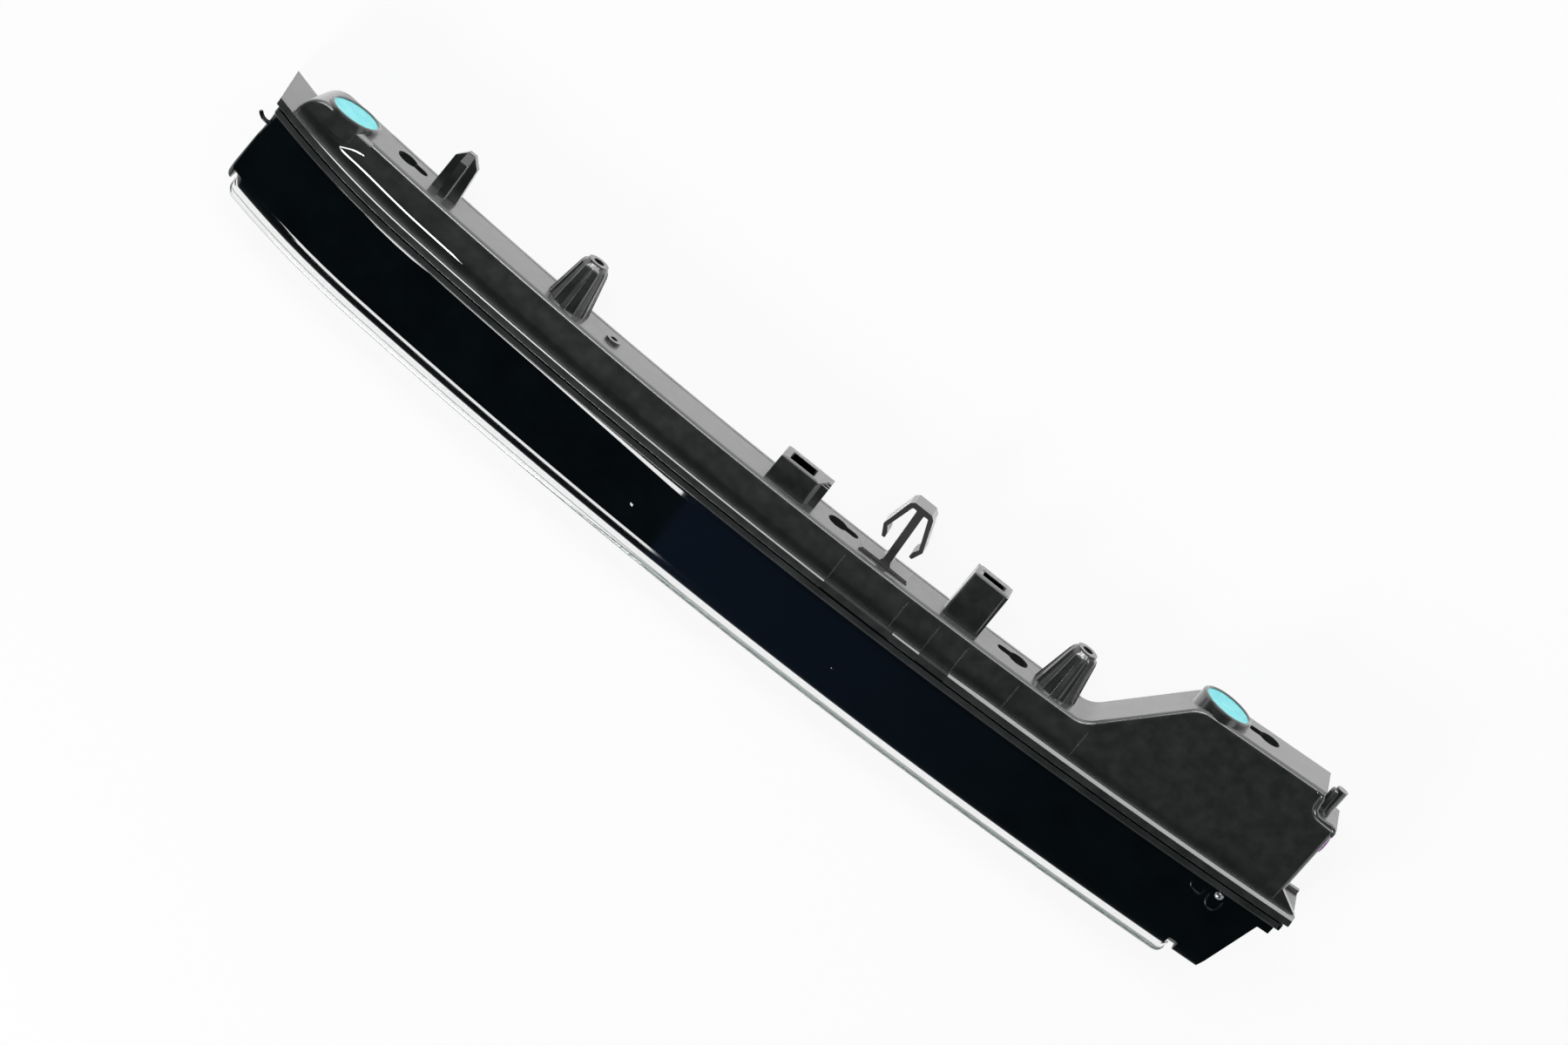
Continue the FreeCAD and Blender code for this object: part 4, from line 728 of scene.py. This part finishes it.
SOCKET_X = 67.8
CONNECTOR_X = -9.0
connector_top = rear_wall(CONNECTOR_X) + 9.75
sleeve("guide_socket_sleeve", SOCKET_X, top=-1.5, half_x=7.4, half_z=6.2, radius=2.0,
       way_half_x=4.9, way_half_z=2.6)
sleeve("connector_sleeve", CONNECTOR_X, top=connector_top, half_x=8.15, half_z=7.15, radius=0.8,
       way_half_x=5.3, way_half_z=4.0)

# Corner peg with its ball foot, and the rounded rim of its notch
PEG_X = 204.75
PEG_Z = 4.0
peg_top = box_wall(200.0) + 1.6
notch_floor = box_wall(212.5) - 9.4
peg_foot = [(-0.5, 2.9), (0.6, 2.95), (1.6, 2.4), (2.6, 2.25)]
peg_profile = [(notch_floor + rise, radius) for rise, radius in peg_foot]
peg_profile += [(peg_top - 0.7, 2.15), (peg_top - 0.2, 1.85), (peg_top, 1.2)]
rings = []
for y, radius in peg_profile:
    ring = []
    for turn in full_turn(24):
        ring.append(Vector((PEG_X + radius * math.cos(turn), y, PEG_Z + radius * math.sin(turn))) * MM)
    rings.append(ring)
lofted("corner_peg", "housing_black", rings)

NOTCH_RIM_Z = 11.5
notch_edge = [(x, box_wall(x) - below) for x, below in ((198.0, 0.9), (200.4, 1.1), (201.4, 2.6))]
notch_edge += [(201.7, 11.6), (202.4, 9.4), (204.2, 8.3), (207.0, 8.2)]
notch_edge += [(210.2, 8.4), (211.9, 7.3), (212.1, 5.0)]
notch_path = smooth_path([Vector((x, y, NOTCH_RIM_Z)) * MM for x, y in notch_edge])
bead("notch_rim", "housing_black", notch_path, 0.75)

# Rims of the two vent collars
for label in ("outboard", "inboard"):
    low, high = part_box("%s_vent_patch" % label)
    centre = (low + high) / 2
    reach = (high.x - low.x) / 2
    middle = Vector((centre.x, high.y, centre.z))
    section = [(reach - 0.35 * MM, -0.6), (reach - 0.3 * MM, 0.35), (reach + 0.3 * MM, 0.6),
               (reach + 0.9 * MM, 0.3), (reach + 1.15 * MM, -0.6)]
    rings = []
    for turn in full_turn(64):
        out = Vector((math.cos(turn), 0, math.sin(turn)))
        rings.append([middle + out * far + Vector((0, rise * MM, 0)) for far, rise in section])
    lofted("vent_rim_%s" % label, "housing_black", rings, run_closed=True)

# Small disc that seals the inboard end wall
low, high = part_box("end_seal_patch")
centre = (low + high) / 2
rings = []
for reach, radius in ((0.0, 4.2), (0.7, 4.2), (1.1, 3.7), (1.25, 2.0), (1.3, 0.4)):
    far = low.x + reach * MM
    size = radius * MM
    turns = full_turn(32)
    rings.append([Vector((far, centre.y + size * math.cos(turn), centre.z + size * math.sin(turn)))
                  for turn in turns])
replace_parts(lofted("end_seal_disc", "patch_violet", rings), "end_seal_patch")

# Lock details on the lens top at the inboard end, and small sprue pips
LOCK_Z = 11.35
lock_ridge = [(185.3, -36.2), (187.1, -39.8), (189.7, -40.7), (191.6, -40.4), (192.0, -37.2)]
lock_drop = [(193.6, -37.2), (194.7, -41.4), (197.7, -42.8), (199.4, -40.4), (199.4, -37.2)]
for name, spots in (("lock_ridge", lock_ridge), ("lock_drop", lock_drop)):
    bead(name, "lens_black", smooth_path([Vector((x, y, LOCK_Z)) * MM for x, y in spots]), 0.4)

DOME_SUNK = -0.3


def dome(name, slot, x, y, radius, height):
    """Low round dome that stands on the sloping top of the lens."""
    joint = bow(x, 0.0, 0.0).y / MM
    curve = (radius ** 2 + height ** 2) / (2 * height)
    rings = []
    for share in (1.0, 0.999, 0.85, 0.65, 0.45, 0.25, 0.05):
        reach = radius * share
        lift = math.sqrt(curve ** 2 - reach ** 2) - curve + height
        if share == 1.0:
            lift = DOME_SUNK
        ring = []
        for turn in full_turn(24):
            place_y = y + reach * math.sin(turn)
            ring.append(Vector((x + reach * math.cos(turn), place_y, lens_top(place_y - joint) + lift)) * MM)
        rings.append(ring)
    lofted(name, slot, rings)


dome("lock_stud", "screw_steel", 197.0, -36.6, radius=1.65, height=0.9)
dome("sprue_pip_outboard", "lens_black", -47.1, -58.2, radius=1.6, height=0.24)
dome("sprue_pip_inboard", "lens_black", 43.0, -60.4, radius=0.7, height=0.2)

# Small hook on the outboard end of the lens
hook_spots = [(-226.0, -31.8, 9.0), (-229.6, -32.0, 10.0), (-231.5, -31.3, 10.3), (-233.0, -29.9, 10.5)]
bead("end_hook", "lens_black", smooth_path([Vector(spot) * MM for spot in hook_spots]), 0.8)

# Camera of the photograph: looks down on the bar from the rear, rolled so that the bar falls to the right
TILT = math.radians(19.0)
ROLL = math.radians(38.47)
DISTANCE = 1.2
PIXELS_PER_MM = 3.28
PICTURE_WIDTH = 1800.0
SENSOR_WIDTH = 36.0
target = Vector((-1.9, -32.7, 0.0)) * MM
toward = Vector((0.0, math.sin(TILT), math.cos(TILT)))
along = Vector((1.0, 0.0, 0.0))
across = Vector((0.0, math.cos(TILT), -math.sin(TILT)))
right = along * math.cos(ROLL) + across * math.sin(ROLL)
up = across * math.cos(ROLL) - along * math.sin(ROLL)
camera_data = bpy.data.cameras.new("camera")
camera_data.sensor_width = SENSOR_WIDTH
camera_data.lens = PIXELS_PER_MM * DISTANCE / MM * SENSOR_WIDTH / PICTURE_WIDTH
camera_data.clip_start = 0.05
camera_data.clip_end = 50.0
camera = bpy.data.objects.new("camera", camera_data)
turn = Matrix((right, up, toward)).transposed().to_4x4()
camera.matrix_world = Matrix.Translation(target + toward * DISTANCE) @ turn
bpy.context.scene.collection.objects.link(camera)
bpy.context.scene.camera = camera


# Floor, backdrop and lamps
STAGE_RADIUS = 6.0
STAGE_SIDES = 64
STAGE_GAP = 0.0003
STAGE_GLOW = 0.9
WALL_HEIGHT = 1.0
WORLD_LEVELS = [(0.05, (0.6, 0.6, 0.6, 1)), (0.3, (0.03, 0.034, 0.036, 1))]


def pale_surface(tree, shade, glow_share):
    """White for the camera and in reflections, plain pale surface for all other light."""
    path = tree.nodes.new("ShaderNodeLightPath")
    seen = path.outputs["Is Camera Ray"]
    for label in ("Is Glossy Ray", "Is Transmission Ray"):
        either = tree.nodes.new("ShaderNodeMath")
        either.operation = "MAXIMUM"
        tree.links.new(seen, either.inputs[0])
        tree.links.new(path.outputs[label], either.inputs[1])
        seen = either.outputs[0]
    share = tree.nodes.new("ShaderNodeMath")
    share.operation = "MULTIPLY"
    share.inputs[1].default_value = glow_share
    tree.links.new(seen, share.inputs[0])
    white = tree.nodes.new("ShaderNodeEmission")
    white.inputs["Strength"].default_value = 1.0
    mix = tree.nodes.new("ShaderNodeMixShader")
    tree.links.new(share.outputs[0], mix.inputs["Fac"])
    tree.links.new(shade, mix.inputs[1])
    tree.links.new(white.outputs["Emission"], mix.inputs[2])
    return mix.outputs["Shader"]


def stage_finish():
    """Pale matt finish of the floor and the wall."""
    material = bpy.data.materials.new("pale_stage")
    material.use_nodes = True
    tree = material.node_tree
    shader = tree.nodes["Principled BSDF"]
    shader.inputs["Base Color"].default_value = (0.92, 0.92, 0.92, 1)
    shader.inputs["Roughness"].default_value = 0.8
    glow = pale_surface(tree, shader.outputs["BSDF"], STAGE_GLOW)
    tree.links.new(glow, tree.nodes["Material Output"].inputs["Surface"])
    return material


def make_stage():
    """Round floor under the bar with a low round wall at its far edge."""
    level = cad_box[0].z - STAGE_GAP
    turns = full_turn(STAGE_SIDES)
    edge = [(STAGE_RADIUS * math.cos(turn), STAGE_RADIUS * math.sin(turn), level) for turn in turns]
    rim = [(x, y, level + WALL_HEIGHT) for x, y, z in edge]
    wall_faces = []
    for step in range(STAGE_SIDES):
        after = (step + 1) % STAGE_SIDES
        wall_faces.append((step, after, STAGE_SIDES + after, STAGE_SIDES + step))
    material = stage_finish()
    floor_faces = [tuple(range(STAGE_SIDES))]
    for name, points, faces in (("floor", edge, floor_faces), ("backdrop", edge + rim, wall_faces)):
        mesh = bpy.data.meshes.new(name)
        mesh.from_pydata(points, [], faces)
        mesh.materials.append(material)
        thing = bpy.data.objects.new(name, mesh)
        bpy.context.scene.collection.objects.link(thing)


def make_world():
    """Soft fill that is paler towards the horizon."""
    world = bpy.data.worlds.new("studio")
    bpy.context.scene.world = world
    world.use_nodes = True
    tree = world.node_tree
    parts = tree.nodes.new("ShaderNodeSeparateXYZ")
    tree.links.new(tree.nodes.new("ShaderNodeTexCoord").outputs["Generated"], parts.inputs["Vector"])
    ramp = tree.nodes.new("ShaderNodeValToRGB")
    for stop, (position, colour) in zip(ramp.color_ramp.elements, WORLD_LEVELS):
        stop.position = position
        stop.color = colour
    tree.links.new(parts.outputs["Z"], ramp.inputs["Fac"])
    tree.links.new(ramp.outputs["Color"], tree.nodes["Background"].inputs["Color"])


def lamp(name, place, aim, size, power):
    """Soft rectangular lamp that points at a spot; places in metres, power in watts."""
    data = bpy.data.lights.new(name, "AREA")
    data.shape = "RECTANGLE"
    data.size, data.size_y = size
    data.energy = power
    thing = bpy.data.objects.new(name, data)
    thing.location = place
    way = Vector(aim) - Vector(place)
    thing.rotation_euler = way.to_track_quat("-Z", "Y").to_euler()
    bpy.context.scene.collection.objects.link(thing)


make_stage()
make_world()
lamp("front_left_softbox", (-0.285, -1.1, 0.62), (-0.285, 0, 0), (0.43, 0.45), 10)
lamp("rear_softbox", (0.0, 0.8, 0.95), (0, 0, 0), (1.8, 0.4), 8)
lamp("rear_fill", (0.0, 1.3, 0.35), (0, 0, 0), (2.4, 1.0), 6)
lamp("rear_left_strip", (-0.235, 0.8, 1.0), (-0.2, 0, 0), (0.24, 0.3), 1.6)
lamp("rear_corner_softbox", (-0.88, 0.85, 0.97), (-0.2, 0, 0), (0.5, 0.3), 2.5)
lamp("right_softbox", (1.3, -0.1, 0.9), (0.1, 0, 0), (1.0, 0.7), 2)

bpy.context.scene.view_settings.view_transform = "Standard"
